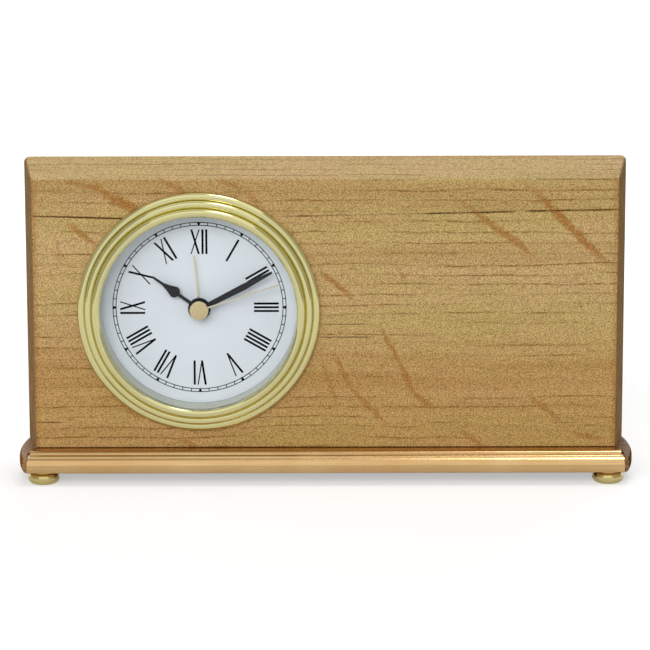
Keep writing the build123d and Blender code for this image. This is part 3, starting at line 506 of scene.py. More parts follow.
def surfaceMaterial(name, first, second, roughness, size, relief, more):
    material, shader, coords = newMaterial(name)
    split = addNode("ShaderNodeSeparateXYZ", {0: coords})
    if "turned" in more:  # fine rings round the dial's axis
        middle = vectorCalc("SUBTRACT", coords, dialMiddle)
        away = vectorCalc("LENGTH", vectorCalc("MULTIPLY", middle, (1, 0, 1)))
        coords = addNode("ShaderNodeCombineXYZ", {"X": away}).outputs[0]
    perMetre = tuple(1 / (size * mm * share) for share in more.get("stretch", finishLook["even"]))
    marks = grain(coords, perMetre, fineNoise)
    broad = grain(coords, finishLook["broadPerMetre"], softNoise)
    mixed = plus(times(marks, finishLook["share"]), times(broad, finishLook["share"]))
    colour = blend(fade(mixed, finishLook["span"]), ink(*first), ink(*second))
    if "wallFootShadow" in more:  # shade where the wall meets the dial
        begins, full, tone = more["wallFootShadow"]
        foot = dialMiddle.y - insertSize["dialFace"] * mm
        colour = scaled(colour, fade(split.outputs["Y"], (foot - begins * mm, foot - full * mm), (1.0, tone)))
    if "upperShade" in more:  # painted shade: the upper part is a little darker, which dims the reflection there
        begins, full, tone = more["upperShade"]
        colour = scaled(colour, fadeAlong(split.outputs["Z"], begins, full, (1.0, tone)))
    setShader(shader, Base_Color=colour, Roughness=fade(marks, noiseMiddle, roughness),
              Metallic=more.get("metallic", 0.0),
              Specular_IOR_Level=more.get("specular", finishLook["specular"]))
    addBump(shader, marks, relief, finishLook["reliefStrength"])
    return material


finishes = {
    # the nosing's reeds get painted shade, dimming the reflection in them
    "nosing_gold": ((226, 189, 136), (215, 175, 119), (0.14, 0.2), 0.35, 0.004,
                    {"metallic": 1.0, "stretch": (40.0, 1.0, 1.0), "upperShade": (10.5, 10.8, 0.84)}),
    "bezel_gold": ((229, 223, 166), (218, 209, 149), (0.08, 0.13), 0.25, 0.003,
                   {"metallic": 1.0, "turned": True}),
    "foot_brass": ((230, 212, 150), (216, 196, 132), (0.16, 0.24), 0.5, 0.006, {"metallic": 1.0}),
    # the wall gets a painted shadow where it meets the dial
    "ring_silver": ((206, 207, 192), (194, 196, 178), (0.3, 0.4), 0.3, 0.004,
                    {"metallic": 0.45, "stretch": (1.0, 6.0, 1.0), "wallFootShadow": (1.3, 0.4, 0.35)}),
    "dial_white": ((231, 239, 247), (226, 234, 242), (0.5, 0.6), 0.3, 0.002, {"specular": 0.3}),
    "dial_ink": ((8, 8, 10), (14, 14, 16), (0.6, 0.7), 0.3, 0.002, {"specular": 0.1}),
    "hand_black": ((24, 25, 28), (32, 33, 37), (0.38, 0.5), 0.3, 0.003, {}),
    "hand_gold": ((232, 226, 202), (222, 214, 184), (0.3, 0.4), 0.2, 0.003, {"metallic": 0.6}),
    "cap_gold": ((240, 222, 178), (214, 192, 142), (0.24, 0.36), 0.22, 0.01,
                 {"metallic": 0.85, "turned": True}),
    "case_black": ((30, 30, 31), (38, 38, 39), (0.42, 0.56), 0.4, 0.02, {}),
    "cover_black": ((38, 38, 40), (47, 47, 49), (0.5, 0.64), 0.35, 0.05, {}),
    "knob_black": ((28, 28, 29), (37, 37, 38), (0.36, 0.5), 0.4, 0.02, {}),
    "switch_grey": ((150, 152, 154), (138, 140, 143), (0.4, 0.52), 0.4, 0.02, {}),
    "plate_white": ((226, 226, 220), (214, 214, 207), (0.36, 0.5), 0.8, 0.01, {}),
    "wheel_white": ((232, 231, 224), (220, 219, 210), (0.34, 0.46), 0.6, 0.01, {}),
    "wheel_brass": ((214, 178, 96), (196, 158, 80), (0.24, 0.36), 0.3, 0.004, {"metallic": 1.0}),
    "steel": ((186, 188, 191), (160, 163, 167), (0.22, 0.34), 0.3, 0.004,
              {"metallic": 1.0, "stretch": (6.0, 1.0, 1.0)}),
    "magnet": ((74, 74, 78), (60, 60, 64), (0.36, 0.5), 0.4, 0.01, {"metallic": 0.7}),
    "copper_wire": ((196, 110, 62), (160, 82, 42), (0.25, 0.38), 0.12, 0.02,
                    {"metallic": 0.9, "stretch": (30.0, 30.0, 1.0)}),
    "board_green": ((34, 92, 52), (26, 78, 44), (0.34, 0.46), 0.9, 0.01, {}),
    "chip_black": ((20, 20, 22), (28, 28, 30), (0.3, 0.42), 0.4, 0.01, {}),
    "battery_wrap": ((36, 38, 44), (46, 48, 54), (0.28, 0.4), 1.2, 0.006, {}),
    "band_rubber": ((200, 198, 190), (184, 182, 174), (0.5, 0.64), 0.5, 0.02, {}),
}
glassLook = {"tint": (30, 34, 38), "alpha": 0.03, "bending": 1.45, "specular": 0.1, "roughness": (0.01, 0.03),
             "hazePerMetre": (30.0, 30.0, 30.0)}


def glassMaterial(look):
    material, shader, coords = newMaterial("lensGlass")
    haze = grain(coords, look.hazePerMetre, softNoise)
    setShader(shader, Base_Color=ink(*look.tint), Alpha=look.alpha, IOR=look.bending,
              Roughness=fade(haze, noiseMiddle, look.roughness), Specular_IOR_Level=look.specular)
    return material


materials = {name: surfaceMaterial(name, *look) for name, look in finishes.items()}
materials["wood_block"] = woodMaterial(named(blockWood))
materials["wood_base"] = woodMaterial(named(baseWood))
materials["lens_glass"] = glassMaterial(named(glassLook))
print("materials made:", len(materials))

# Upright block of wood: the sides and the top flare out towards the back

blockSize = {
    "flare": 4.65, "corner": 2.1, "cornerSteps": 6, "cornerReach": 1.5, "cornerAtFront": 0.3, "upper": 50.0,
    "frontEasing": 0.4, "frontSteps": 3, "backEasing": 0.6, "backSteps": 5, "over": 1.0,
    "boreRadius": 39.7, "boreDepth": 60.0, "boreSteps": 160,
}


def makeBlock():
    size = named(blockSize)
    low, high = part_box("clock_block")
    flare, over, upper = size.flare * mm, size.over * mm, size.upper * mm
    block = boxPiece("clockBlock", low, high)
    startEdit(block)
    pick(block, "EDGE", lambda edge: abs(edge.verts[0].co.y - edge.verts[1].co.y) > mm
         and edge.verts[0].co.z > upper)
    bevelPicked(size.corner, size.cornerSteps)
    # the front is drawn in, and its corners are nearly sharp
    for side in (-1, 1):
        corner = Vector((side * high.x, low.y, high.z))
        pick(block, "VERT", lambda vert: (vert.co - corner).length < size.cornerReach * size.corner * mm)
        bpy.ops.transform.resize(value=(size.cornerAtFront,) * 3, center_override=corner)
    pick(block, "VERT", lambda vert: vert.co.y < low.y + over)
    bpy.ops.transform.resize(value=(1 - flare / high.x, 1, 1), center_override=(0, low.y, low.z))
    pick(block, "VERT", lambda vert: vert.co.y < low.y + over and vert.co.z > upper)
    bpy.ops.transform.translate(value=(0, 0, -flare))
    for level, easing, steps in ((low.y, size.frontEasing, size.frontSteps),
                                 (high.y, size.backEasing, size.backSteps)):
        pick(block, "EDGE", lambda edge: all(abs(v.co.y - level) < same for v in edge.verts)
             and max(v.co.z for v in edge.verts) > low.z + over)
        bevelPicked(easing, steps)
    endEdit()
    cutAway(block, rodPiece(size.boreRadius, size.boreDepth, dialMiddle, size.boreSteps))
    evenNormals(block)
    keep(block, "clock", "wood_block", "clock_block")


makeBlock()
print("block done")

# Plinth with bowed, rounded ends

baseSize = {"rounding": 2.1, "roundSteps": 6, "bow": 2.3, "bowSteps": 12, "noseDepth": 4.0,
            "flange": 3.5, "over": 1.0}


def makeBase():
    size = named(baseSize)
    low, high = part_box("base_board")
    noseLow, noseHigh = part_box("base_molding")
    half = high.x / mm - size.bow
    front, back, reach = noseLow.y / mm, high.y / mm, high.x / mm
    right = arcThrough((half, front), (reach, (front + back) / 2), (half, back), size.bowSteps)
    left = [(-x, y) for x, y in reversed(right)]
    thick = (high.z - low.z) / mm
    board = flatPiece("baseBoard", right + left, thick, rightwards, backwards, upwards * low.z)
    startEdit(board)
    pick(board, "EDGE", lambda edge: abs(edge.verts[0].co.z - edge.verts[1].co.z) < same
         and min(abs(v.co.x) for v in edge.verts) > half * mm - same
         and abs(edge.verts[0].co.x - edge.verts[1].co.x) > same / 2)
    bevelPicked(size.rounding, size.roundSteps)
    endEdit()
    over = size.over * mm
    stepY = noseLow.y + size.noseDepth * mm
    shelf = noseHigh.z - size.flange * mm
    for bottom, end in ((low.z - over, stepY), (shelf, noseHigh.y)):
        cutAway(board, boxPiece("room", Vector((noseLow.x, noseLow.y - over, bottom)),
                                Vector((noseHigh.x, end, high.z + over))))
    evenNormals(board)
    keep(board, "clock", "wood_base", "base_board")


# Metal nosing: a round nose, two small reeds and a flat ledge to the block

noseSize = {"radius": 4.5, "brow": 1.87, "crown": 55.0, "chin": 1.2, "depth": 4.0, "steps": 16, "flange": 3.5,
            "reedDepths": (1.3, 1.6), "reedHeights": (0.95, 1.3), "reedBulge": 0.155, "reedSteps": 8,
            "shortReeds": 1.2, "smoothing": 20}


def makeNosing():
    size = named(noseSize)
    low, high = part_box("base_molding")
    width, reach, height = (high - low) / mm
    radius, brow, steps, bulge = size.radius, size.brow, size.steps, size.reedBulge
    turns = [math.radians(size.crown * (1 - number / steps)) for number in range(steps + 1)]
    nose = [(radius * (1 - math.cos(turn)), brow + radius * math.sin(turn)) for turn in turns]
    turns = [math.radians(90 * number / steps) for number in range(1, steps + 1)]
    chin = [(size.chin * (1 - math.cos(turn)), brow * (1 - math.sin(turn))) for turn in turns]
    place, reeds = nose[0], []
    for deep, tall in zip(size.reedDepths, size.reedHeights):
        end = (place[0] + deep, place[1] + tall)
        crest = (place[0] + deep / 2 - bulge * tall, place[1] + tall / 2 + bulge * deep)
        reeds += arcThrough(place, crest, end, size.reedSteps)[1:]
        place = end
    shelf, top, short = height - size.flange, nose[0][1], size.shortReeds
    front = nose + chin + [(size.depth, 0), (size.depth, shelf), (reach, shelf)]
    reeded, plain = front + [(reach, height)] + reeds[::-1], front + [(reach, top)]
    bars = []
    for outline, start, length in ((reeded, short, width - 2 * short), (plain, 0.0, short),
                                   (plain, width - short, short)):
        bar = flatPiece("bar", outline, length, backwards, upwards, low + rightwards * start * mm)
        smooth(bar, size.smoothing)
        bars.append(bar)
    keep(joined("baseNosing", *bars), "clock", "nosing_gold", "base_molding")


makeBase()
makeNosing()
print("plinth and nosing done")

# Bun feet, one turned and copied to the corners

footSize = {"sole": 0.66, "neck": 0.74, "belly": 0.45, "shoulder": 0.88, "screwRadius": 1.0,
            "headRadius": 2.4, "headRoom": 1.5, "bellySteps": 22, "steps": 72}


def makeFeet():
    size = named(footSize)
    names = ["foot_front_left", "foot_front_right", "foot_rear_left", "foot_rear_right"]
    low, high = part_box(names[0])
    radius, height = (high.x - low.x) / 2 / mm, high.z / mm
    sole, neck, shoulder = size.sole * radius, size.neck * radius, size.shoulder * height
    screw, head, room = size.screwRadius, size.headRadius, size.headRoom
    outline = [(screw, room), (head, room), (head, 0.0)]
    outline += arcThrough((sole, 0.0), (radius, size.belly * height), (neck, shoulder), size.bellySteps)
    outline += [(neck, height), (screw, height), outline[0]]
    place = Vector(((low.x + high.x) / 2, (low.y + high.y) / 2, 0))
    first = turnedPiece("footFrontLeft", outline, size.steps, place, upwards)
    smooth(first)
    keep(first, "clock", "foot_brass", names[0])
    for name in names[1:]:
        workOn(first)
        bpy.ops.object.duplicate(linked=False)
        copy = newPiece(name[0] + name.title().replace("_", "")[1:])
        copy.parent = None
        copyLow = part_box(name)[0]
        copy.location = (copyLow.x - low.x, copyLow.y - low.y, 0)
        settle(copy)
        keep(copy, "clock", "foot_brass", name)


makeFeet()
print("feet done")

# Bezel of three stepped rolls

bezelSize = {
    "rolls": (1.0, 0.65, 0.36, 0.0), "crests": (0.43, 0.74, 1.0), "valleys": (0.34, 0.64), "crestPlace": 0.45,
    "sight": 36.5, "rim": 45.0, "rise": 6.0, "foot": 0.5, "lipFront": 5.15, "lipBack": 4.15, "pocket": 38.05,
    "seat": 2.4, "inside": 38.55, "grooveWidth": 0.2, "grooveDepth": 0.25, "undercut": 0.7,
    "rollSteps": 16, "steps": 192, "smoothing": 38,
}


def makeBezel():
    size = named(bezelSize)
    span, last = size.sight - size.rim, len(size.crests) - 1
    radii = [size.sight - share * span for share in size.rolls]
    valleys = [size.foot, *[share * size.rise for share in size.valleys], size.lipFront]
    half, groove = size.grooveWidth / 2, size.grooveDepth
    outline = [(size.rim - size.undercut, 0.0)]
    for number, share in enumerate(size.crests):
        outer, inner = radii[number] - half * (number > 0), radii[number + 1] + half * (number < last)
        crest = (outer - size.crestPlace * (outer - inner), share * size.rise)
        outline += arcThrough((outer, valleys[number]), crest, (inner, valleys[number + 1]), size.rollSteps)
        if number < last:
            outline.append((inner - half, valleys[number + 1] - groove))
    outline += [(size.sight, size.lipBack), (size.pocket, size.lipBack), (size.pocket, size.seat),
                (size.inside, size.seat), (size.inside, 0.0), outline[0]]
    ring = turnedPiece("bezelRing", outline, size.steps)
    smooth(ring, size.smoothing)
    keep(ring, "clock", "bezel_gold", "bezel")


makeBezel()
print("bezel done")

# Glass and silver wall, turned about the same axis

def makeInsertFront():
    size = named(insertSize)
    radius, ease, back, front = size.lensRadius, size.lensEase, size.lensBack, size.lensFront
    outline = [(0, back), (radius - ease, back), (radius, back + ease), (radius, front - ease),
               (radius - ease, front), (0, front)]
    glass = turnedPiece("lensGlassDisc", outline, size.lensSteps)
    smooth(glass, size.smoothing)
    keep(glass, "clock", "lens_glass", "lens")
    inner, outer, foot, ease = size.wallInner, size.wallOuter, size.dialFace, size.wallEase
    outline = [(inner + ease, foot), (inner, foot + ease), (inner, back), (outer, back), (outer, foot)]
    wall = turnedPiece("dialWall", outline + outline[:1], size.wallSteps)
    smooth(wall, size.smoothing)
    keep(wall, "clock", "ring_silver", "dial_ring")


makeInsertFront()

# Printed minute track and numerals on the dial

printSize = {"trackOuter": 32.3, "trackInner": 31.15, "lineWidth": 0.3, "lineSteps": 180, "tickWidth": 0.32,
             "wedgeBase": 1.5, "wedgeTip": 30.9, "wedgePoint": 0.2, "numeralTop": 29.6, "numeralFoot": 20.3,
             "thick": 0.8, "thin": 0.46, "wideLetter": 3.5, "letterGap": 0.62, "level": -7.5, "film": 0.03}
hourWords = ("XII", "I", "II", "III", "IIII", "V", "VI", "VII", "VIII", "IX", "X", "XI")


def letterStrokes(letter, left):
    # each stroke: place at its foot, place at its top, width
    thick, thin, wide = printSize["thick"], printSize["thin"], printSize["wideLetter"]
    first, middle, last = left + thick / 2, left + wide / 2, left + wide - thin / 2
    if letter == "I":
        return [(first, first, thick)], thick
    if letter == "V":
        return [(middle, first, thick), (middle, last, thin)], wide
    return [(left + wide - thick / 2, first, thick), (left + thin / 2, last, thin)], wide


def slanted(foot, footWidth, low, top, topWidth, high):
    below, above = footWidth / 2, topWidth / 2
    return [(foot - below, low), (foot + below, low), (top + above, high), (top - above, high)]


def printShapes():
    size, shapes = named(printSize), []
    for hour, word in enumerate(hourWords):
        strokes, left = [], 0.0
        for letter in word:
            added, width = letterStrokes(letter, left)
            strokes += added
            left += width + size.letterGap
        middle = (left - size.letterGap) / 2
        for foot, top, width in strokes:
            shapes.append((360 * hour / len(hourWords), slanted(foot - middle, width, size.numeralFoot,
                                                                top - middle, width, size.numeralTop)))
    for minute in range(60):
        tick, wedge = size.tickWidth, size.wedgeBase
        shapes.append((6 * minute, slanted(0, tick, size.trackInner, 0, tick, size.trackOuter)))
        if minute % 5 == 0:
            shapes.append((6 * minute, slanted(0, size.wedgePoint, size.wedgeTip, 0, wedge, size.trackOuter)))
    return shapes


def makeDialPrint():
    size = named(printSize)
    middle = atDial(0, 0, size.level)
    clearSelection()
    bpy.ops.mesh.primitive_plane_add(size=1, location=(0, 0, 0))
    stroke = newPiece("stroke")
    marks = []
    for degrees, corners in printShapes():
        workOn(stroke)
        bpy.ops.object.duplicate(linked=False)
        mark = newPiece("mark")
        cosine, sine = polar(1, -degrees)
        for vertex, place in zip(mark.data.vertices, (0, 1, 3, 2)):  # a plane's corners run row by row
            x, y = corners[place]
            vertex.co = atDial(x * cosine - y * sine, x * sine + y * cosine, size.level)
        marks.append(mark)
    bpy.data.objects.remove(stroke, do_unlink=True)
    for radius in (size.trackOuter, size.trackInner):
        inner, outer = radius - size.lineWidth / 2, radius + size.lineWidth / 2
        bpy.ops.mesh.primitive_circle_add(vertices=size.lineSteps, radius=inner * mm, location=middle,
                                          rotation=(math.pi / 2, 0, 0))
        line = newPiece("mark")
        settle(line)
        startEdit(line)
        bpy.ops.mesh.extrude_edges_move()
        bpy.ops.transform.resize(value=(outer / inner,) * 3, center_override=middle)
        endEdit()
        marks.append(line)
    film = joined("dialPrint", *marks)
    startEdit(film)
    mesh = bmesh.from_edit_mesh(film.data)
    for face in mesh.faces:
        if face.normal.y > 0:
            face.normal_flip()
    bmesh.update_edit_mesh(film.data)
    bpy.ops.mesh.select_all(action="SELECT")
    bpy.ops.mesh.extrude_region_move(TRANSFORM_OT_translate={"value": towardsViewer * size.film * mm})
    endEdit()
    keep(film, "clock", "hand_black", finish="dial_ink")


makeDialPrint()
print("dial done")

# Hands, cut from sheet and softened at the edges, and the cap that holds them

handSizes = {
    # right half of each outline: half width and place along the hand
    "hourHand": {
        "node": "hour_hand", "body": "hour_works", "slot": "hand_black", "angle": 305.2, "back": -5.1,
        "thick": 0.5, "hub": 4.2, "hole": 1.7, "softening": 0.12, "tip": (0.38, 21.0),
        "leaf": ((0.6, 9.35), (1.75, 10.08), (2.15, 11.45)),
        "taper": ((2.15, 11.45), (1.2, 13.86), (0.5, 16.38)),
    },
    "minuteHand": {
        "node": "minute_hand", "body": "minute_works", "slot": "hand_black", "angle": 62.6, "back": -3.6,
        "thick": 0.5, "hub": 3.0, "hole": 1.1, "softening": 0.12, "tip": (0.42, 30.6),
        "sides": ((0.85, 0.0), (1.2, 18.97)),
    },
    "alarmHand": {
        "node": "alarm_hand", "body": "alarm_works", "slot": "hand_gold", "angle": 354.7, "back": -6.5,
        "thick": 0.4, "hub": 3.5, "hole": 2.3, "softening": 0.08, "tip": (0.3, 20.0), "sides": ((0.42, 0.0),),
    },
    "secondHand": {
        "node": "second_hand", "body": "second_works", "slot": "hand_gold", "angle": 72.0, "back": -2.1,
        "thick": 0.3, "hub": 1.6, "hole": 0.5, "softening": 0.06, "tip": (0.24, 31.6), "sides": ((0.3, 0.0),),
    },
}
handShared = {"leafSteps": 10, "hubSteps": 72, "holeSteps": 48, "smoothing": 40}
capSize = {"radius": 3.5, "back": -2.1, "front": -0.9, "ease": 0.28, "arbor": 0.5, "pocket": -1.5,
           "steps": 72}


def makeHand(name, look):
    size = named(look)
    if "leaf" in look:
        leaf, taper = (arcThrough(*look[part], handShared["leafSteps"]) for part in ("leaf", "taper"))
        half = [(size.leaf[0][0], 0.0), *leaf, *taper[1:]]
    else:
        half = list(size.sides)
    half.append(size.tip)
    cosine, sine = polar(1, size.angle)
    across, along = Vector((cosine, 0, -sine)), Vector((sine, 0, cosine))
    outline = half + [(-x, y) for x, y in reversed(half)]
    thick = size.thick
    hand = flatPiece(name, outline, thick, across, along, atDial(0, 0, size.back))
    middle = atDial(0, 0, size.back + thick / 2)
    combine(hand, rodPiece(size.hub, thick, middle, handShared["hubSteps"]), "UNION")
    cutAway(hand, rodPiece(size.hole, 4 * thick, middle, handShared["holeSteps"]))
    roundEdges(hand, size.softening)
    smooth(hand, handShared["smoothing"])
    keep(hand, size.body, size.slot, size.node)


def makeCap():
    size = named(capSize)
    radius, ease, back, front = size.radius, size.ease, size.back, size.front
    outline = [(0, size.pocket), (size.arbor, size.pocket), (size.arbor, back), (radius - ease, back),
               (radius, back + ease), *easedCorner(radius, front, -ease), (0, front)]
    cap = turnedPiece("handCap", outline, size.steps)
    smooth(cap)
    keep(cap, "second_works", "hand_gold", finish="cap_gold")


for handName, handSize in handSizes.items():
    makeHand(handName, handSize)
makeCap()
print("hands done")

# Back of the insert: moulded cover with rails, sliding door, screws, switch and knobs

backSize = {"coverThick": 1.6, "edge": 0.5, "steps": 128, "screwRing": 33.5,
            "screwTurns": (-31.0, 44.4, 135.6, 211.0), "screwHole": 0.6, "shaftHole": 0.85, "holeSteps": 32,
            "doorLap": 1.6, "railWidth": 1.6, "railLip": 0.8, "lipThick": 0.6, "play": 0.1, "soundHole": 0.8,
            "soundRing": 4.015, "soundHoles": 6, "slotWidth": 7.1, "slotHeight": 2.5, "slotShift": 2.0,
            "softening": 0.2, "cutDepth": 8.0}
doorSize = {"thick": 1.0, "ribWidth": 0.8, "ribHeight": 0.4, "ribPitch": 2.0, "ribShare": 0.5,
            "softening": 0.25, "softSteps": 3, "ribSoftening": 0.15}
switchSize = {"plateThick": 1.1, "stemWidth": 3.0, "stemHeight": 2.4, "nubHeight": 3.6, "nubThick": 1.3,
              "softening": 0.09, "grooves": (-0.8, 0.0, 0.8), "grooveWidth": 0.3, "grooveDepth": 0.3}
coverScrewSize = {"radius": 1.4, "height": 1.2, "ease": 0.35, "shank": 0.6, "crossWidth": 0.34,
                  "crossLength": 1.8, "crossDepth": 0.6, "steps": 32}
cutStart = 1.0  # how far outside a face its cuts begin


def backSlab(x, y, width, height, back, front):
    low, high = atDial(x - width / 2, y - height / 2, front), atDial(x + width / 2, y + height / 2, back)
    return boxPiece("slab", low, high)


def onDial(node):  # middle and size of a node, then its back and front, in millimetres from the dial's middle
    low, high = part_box(node)
    middle, size = ((low + high) / 2 - dialMiddle) / mm, (high - low) / mm
    return middle.x, middle.z, size.x, size.z, (dialMiddle.y - high.y) / mm, (dialMiddle.y - low.y) / mm


def makeCover():
    size = named(backSize)
    width, _, railEnd, face = onDial("rear_cover")[2:]
    radius, edge, back, deep = width / 2, size.edge, face - size.coverThick, size.cutDepth
    outline = [(0, face), (radius, face), *easedCorner(radius, back, edge), (0, back)]
    cover = turnedPiece("rearCover", outline, size.steps)
    buzzerX, buzzerY = onDial("buzzer")[:2]
    holes = [(buzzerX, buzzerY, size.soundHole)]
    for number in range(size.soundHoles):
        x, y = polar(size.soundRing, 360 / size.soundHoles * number)
        holes.append((buzzerX + x, buzzerY + y, size.soundHole))
    holes += [(*polar(size.screwRing, turn), size.screwHole) for turn in size.screwTurns]
    holes += [(*onDial(knob)[:2], size.shaftHole) for knob in ("time_set_knob", "alarm_set_knob")]
    for x, y, holeRadius in holes:
        cutAway(cover, rodPiece(holeRadius, deep, atDial(x, y, (face + back) / 2), size.holeSteps))
    doorX, doorY, doorWidth, doorHeight = onDial("battery_door")[:4]
    lap = 2 * size.doorLap
    switchX, switchY = onDial("alarm_switch")[:2]
    for opening in ((doorX, doorY, doorWidth - lap, doorHeight - lap),
                    (switchX + size.slotShift, switchY, size.slotWidth, size.slotHeight)):
        cutAway(cover, backSlab(*opening, back - deep, face + deep))
    rails, lipFace, railStart = [], railEnd + size.lipThick, atDial(doorX - doorWidth / 2, 0, 0)
    for side in (-1, 1):
        inner = doorY + side * (doorHeight / 2 + size.play)
        outer, lip = inner + side * size.railWidth, inner - side * size.railLip
        outline = [(outer, back), (outer, railEnd), (lip, railEnd), (lip, lipFace), (inner, lipFace),
                   (inner, back)]
        rail = flatPiece("rail", outline, doorWidth, upwards, towardsViewer, railStart)
        roundEdges(rail, size.softening)
        rails.append(rail)
    cover = joined("rearCover", cover, *rails)
    smooth(cover)
    keep(cover, "clock", "cover_black", "rear_cover")


def makeDoor():
    size = named(doorSize)
    x, y, width, height, ribEnd, face = onDial("battery_door")
    back = face - size.thick
    door = backSlab(x, y, width, height, back, face)
    roundEdges(door, size.softening, size.softSteps)
    ribs = []
    for number in (-1, 0, 1):
        rib = backSlab(x + number * size.ribPitch, y, size.ribWidth, size.ribShare * height, ribEnd,
                       back + size.ribHeight)
        roundEdges(rib, size.ribSoftening)
        ribs.append(rib)
    door = joined("batteryDoor", door, *ribs)
    smooth(door)
    keep(door, "battery_door", "cover_black", "battery_door")


def makeSwitch():
    size = named(switchSize)
    x, y, width, height, nubEnd, face = onDial("alarm_switch")
    nubFace, plateBack = nubEnd + size.nubThick, face - size.plateThick
    nub = backSlab(x, y, size.stemWidth, size.nubHeight, nubEnd, nubFace)
    for shift in size.grooves:
        cutAway(nub, backSlab(x + shift, y, size.grooveWidth, 2 * size.nubHeight, nubEnd - cutStart,
                              nubEnd + size.grooveDepth))
    plate = backSlab(x, y, width, height, plateBack, face)
    stem = backSlab(x, y, size.stemWidth, size.stemHeight, nubFace, plateBack)
    for piece in (nub, plate):
        roundEdges(piece, size.softening)
    slider = joined("alarmSwitch", nub, plate, stem)
    smooth(slider)
    keep(slider, "alarm_switch", "switch_grey", "alarm_switch")


def makeCoverScrews():
    size = named(coverScrewSize)
    headEnd, tip = onDial("cover_screws")[4:]
    seat, ease, radius, shank = headEnd + size.height, size.ease, size.radius, size.shank
    outline = [(0, tip), (shank, tip), (shank, seat), (radius, seat), *easedCorner(radius, headEnd, ease),
               (0, headEnd)]
    screws = []
    for turn in backSize["screwTurns"]:
        x, y = polar(backSize["screwRing"], turn)
        screw = turnedPiece("screw", outline, size.steps, atDial(x, y, 0))
        across, along = size.crossWidth, size.crossLength
        for wide, tall in ((across, along), (along, across)):
            cutAway(screw, backSlab(x, y, wide, tall, headEnd - cutStart, headEnd + size.crossDepth))
        screws.append(screw)
    screws = joined("coverScrews", *screws)
    smooth(screws)
    keep(screws, "clock", "steel", "cover_screws")


knobSizes = {
    # gear: places round each tooth, as distance from the axis and degrees from the tooth's middle
    "time_set_knob": {"name": "timeKnob", "level": -13.2, "teeth": 12, "firstTooth": 0.0,
                      "tooth": ((1.77, 8.3), (1.93, 8.3), (2.13, 6.6), (2.37, 2.8))},
    "alarm_set_knob": {"name": "alarmKnob", "level": -10.8, "teeth": 16, "firstTooth": 11.25,
                       "tooth": ((2.08, 6.65), (2.16, 6.65), (2.38, 4.95), (2.59, 2.25))},
}
knobSize = {"height": 3.0, "flutes": 24, "fluteShare": 0.93, "shaft": 0.8, "shaftSteps": 32, "gearThick": 0.8,
            "easing": 0.4, "easingSteps": 3, "rim": 1.1, "dish": 0.35, "smoothing": 30}


def makeKnob(node, look):
    size = named(knobSize)
    x, y, width, _, end, tip = onDial(node)
    radius, face, flutes = width / 2, end + size.height, size.flutes
    rim = [polar(radius * (1 if number % 2 else size.fluteShare), 180 * number / flutes)
           for number in range(2 * flutes)]
    head = flatPiece("head", rim, size.height, rightwards, upwards, atDial(x, y, end))
    backPlane = atDial(x, y, end).y
    startEdit(head)
    pick(head, "EDGE", lambda edge: all(abs(v.co.y - backPlane) < same for v in edge.verts))
    bevelPicked(size.easing, size.easingSteps)
    pick(head, "FACE", lambda side: len(side.verts) == 2 * flutes and side.normal.y > 0)
    bpy.ops.mesh.inset(thickness=size.rim * mm)
    bpy.ops.transform.translate(value=towardsViewer * size.dish * mm)
    endEdit()
    outline = []
    for number in range(look.teeth):
        middle = look.firstTooth + 360 / look.teeth * number
        outline += [polar(reach, middle - degrees) for reach, degrees in look.tooth]
        outline += [polar(reach, middle + degrees) for reach, degrees in reversed(look.tooth)]
    gear = flatPiece("gear", outline, size.gearThick, rightwards, upwards, atDial(x, y, look.level))
    shaft = rodPiece(size.shaft, tip - face, atDial(x, y, (tip + face) / 2), size.shaftSteps)
    knob = joined(look.name, head, gear, shaft)
    smooth(knob, size.smoothing)
    keep(knob, node, "knob_black", node)


for knobNode, knobLook in knobSizes.items():
    makeKnob(knobNode, named(knobLook))
makeCover()
makeDoor()
makeSwitch()
makeCoverScrews()
print("back done")

# Finishes on the nodes whose shape stays as it is

for node in nodes.values():
    for socket in node.material_slots:
        socket.material = materials[socket.material.name.split(".")[0]]
print("finishes placed")

# Floor, light and camera

floorLook = {"size": 8.0, "colour": 0.62, "roughness": 0.9, "mirrored": 0.3, "reach": (0.16, 0.5),
             "glow": (0.45, 0.64)}
worldLight = 0.36
lamps = (
    # name, place, aim, width, height, watts, mirrored in metal
    ("softFront", (-0.45, -2.5, 1.25), (0, 0, 0.06), 1.6, 1.2, 40.0, False),
    ("stripTop", (0.5, -0.12, 2.4), (0.1, 0, 0.06), 0.9, 0.5, 8.5, True),
    ("softTop", (-0.3, -0.4, 2.4), (0, 0, 0.06), 1.2, 0.8, 6.5, False),
    ("softBack", (0.5, 2.3, 1.3), (0, 0, 0.06), 1.6, 1.2, 26.0, False),
    ("softLeft", (-2.0, -1.6, 1.0), (0, 0, 0.06), 1.2, 1.2, 9.0, False),
    ("softRight", (2.1, -1.7, 0.9), (0, 0, 0.06), 1.2, 1.2, 5.0, False),
)
# grey cards at both sides, low in front and overhead, seen in polished metal only
cards = (
    # name, middle, width, height, turns in degrees, grey
    ("cardLeft", (-0.75, -0.3, 0.55), 1.4, 1.1, (90, 0, 90), 0.42),
    ("cardRight", (0.75, -0.3, 0.55), 1.4, 1.1, (90, 0, 90), 0.42),
    ("cardFront", (0.0, -1.7, 0.3), 2.4, 0.6, (90, 0, 0), 0.7),
    ("cardTop", (-0.75, -0.2, 2.3), 1.6, 1.2, (0, 0, 0), 0.48),
)
white, black = (1, 1, 1, 1), (0, 0, 0, 1)


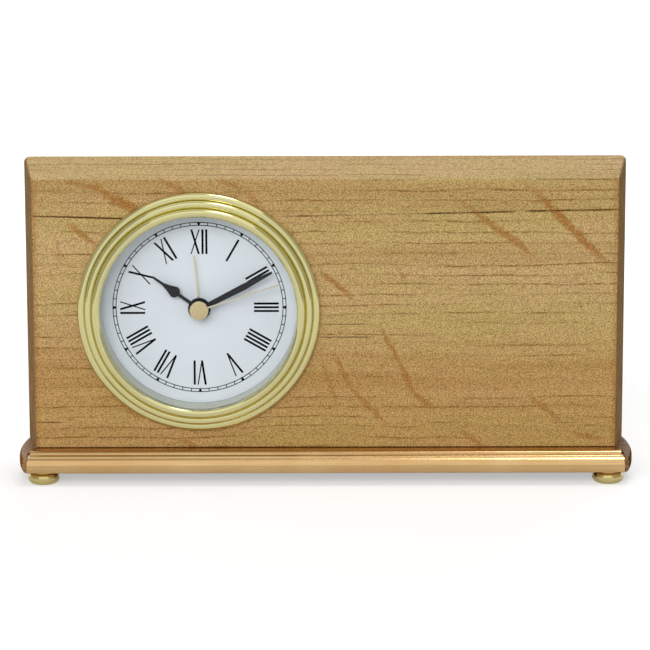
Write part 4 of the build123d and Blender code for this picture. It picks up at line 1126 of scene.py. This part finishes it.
def makeFloor():
    look = named(floorLook)
    clearSelection()
    bpy.ops.mesh.primitive_plane_add(size=look.size, location=(0, 0, 0))
    floor = newPiece("floor")
    material, shader, coords = newMaterial("floorWhite")
    seen = addNode("ShaderNodeLightPath").outputs
    rays = calc("MAXIMUM", seen["Is Camera Ray"], seen["Is Transmission Ray"])
    rays = calc("MAXIMUM", rays, times(seen["Is Glossy Ray"], look.mirrored))
    glow = fade(vectorCalc("LENGTH", coords), look.reach, look.glow)
    setShader(shader, Base_Color=(look.colour,) * 3 + (1.0,), Roughness=look.roughness,
              Specular_IOR_Level=0.0, Emission_Color=white, Emission_Strength=times(rays, glow))
    floor.data.materials.append(material)


def makeCards():
    for name, middle, width, height, turns, grey in cards:
        clearSelection()
        angles = [math.radians(turn) for turn in turns]
        bpy.ops.mesh.primitive_plane_add(size=1, location=middle, rotation=angles)
        card = newPiece(name)
        card.scale = (width, height, 1)
        settle(card)
        material, shader = newMaterial(name + "Grey")[:2]
        setShader(shader, Base_Color=black, Roughness=1.0, Specular_IOR_Level=0.0, Emission_Color=white,
                  Emission_Strength=grey)
        card.data.materials.append(material)
        card.visible_camera = card.visible_diffuse = card.visible_shadow = card.visible_transmission = False


def makeLight():
    world = bpy.data.worlds.new("studio")
    bpy.context.scene.world = world
    world.use_nodes = True
    trees.append(world.node_tree)
    seen = addNode("ShaderNodeLightPath").outputs
    rays = calc("MAXIMUM", seen["Is Glossy Ray"], seen["Is Transmission Ray"])
    rays = calc("MAXIMUM", seen["Is Camera Ray"], rays)
    strength = addNode("ShaderNodeMix", {0: rays, 2: worldLight, 3: 1.0}).outputs[0]
    back = world.node_tree.nodes["Background"]
    back.inputs["Color"].default_value = white
    feed(back.inputs["Strength"], strength)
    for name, place, aim, width, height, watts, mirrored in lamps:
        data = bpy.data.lights.new(name, "AREA")
        data.shape, data.size, data.size_y, data.energy = "RECTANGLE", width, height, watts
        lamp = bpy.data.objects.new(name, data)
        bpy.context.scene.collection.objects.link(lamp)
        lamp.location = place
        lamp.visible_glossy = mirrored
        lamp.rotation_euler = (Vector(aim) - Vector(place)).to_track_quat("-Z", "Y").to_euler()


cameraLook = {"azimuth": 0.081, "elevation": 12.3765, "roll": -0.1395, "distance": 1.3,
              "target": (-0.0001535, 0.0, 0.0573846), "focalPixels": 3476.33,
              "imageWidth": 650.0, "sensor": 36.0}


def makeCamera():
    look = named(cameraLook)
    data = bpy.data.cameras.new("camera")
    data.sensor_width = look.sensor
    data.lens = look.focalPixels * look.sensor / look.imageWidth
    camera = bpy.data.objects.new("camera", data)
    bpy.context.scene.collection.objects.link(camera)
    turn = (Matrix.Rotation(math.radians(look.azimuth), 4, "Z")
            @ Matrix.Rotation(math.radians(90 - look.elevation), 4, "X")
            @ Matrix.Rotation(math.radians(look.roll), 4, "Z"))
    ahead = turn @ Vector((0, 0, -1))
    camera.matrix_world = Matrix.Translation(Vector(look.target) - ahead * look.distance) @ turn
    bpy.context.scene.camera = camera


makeFloor()
makeCards()
makeLight()
makeCamera()
bpy.context.scene.view_settings.view_transform = "Standard"
print("studio done")
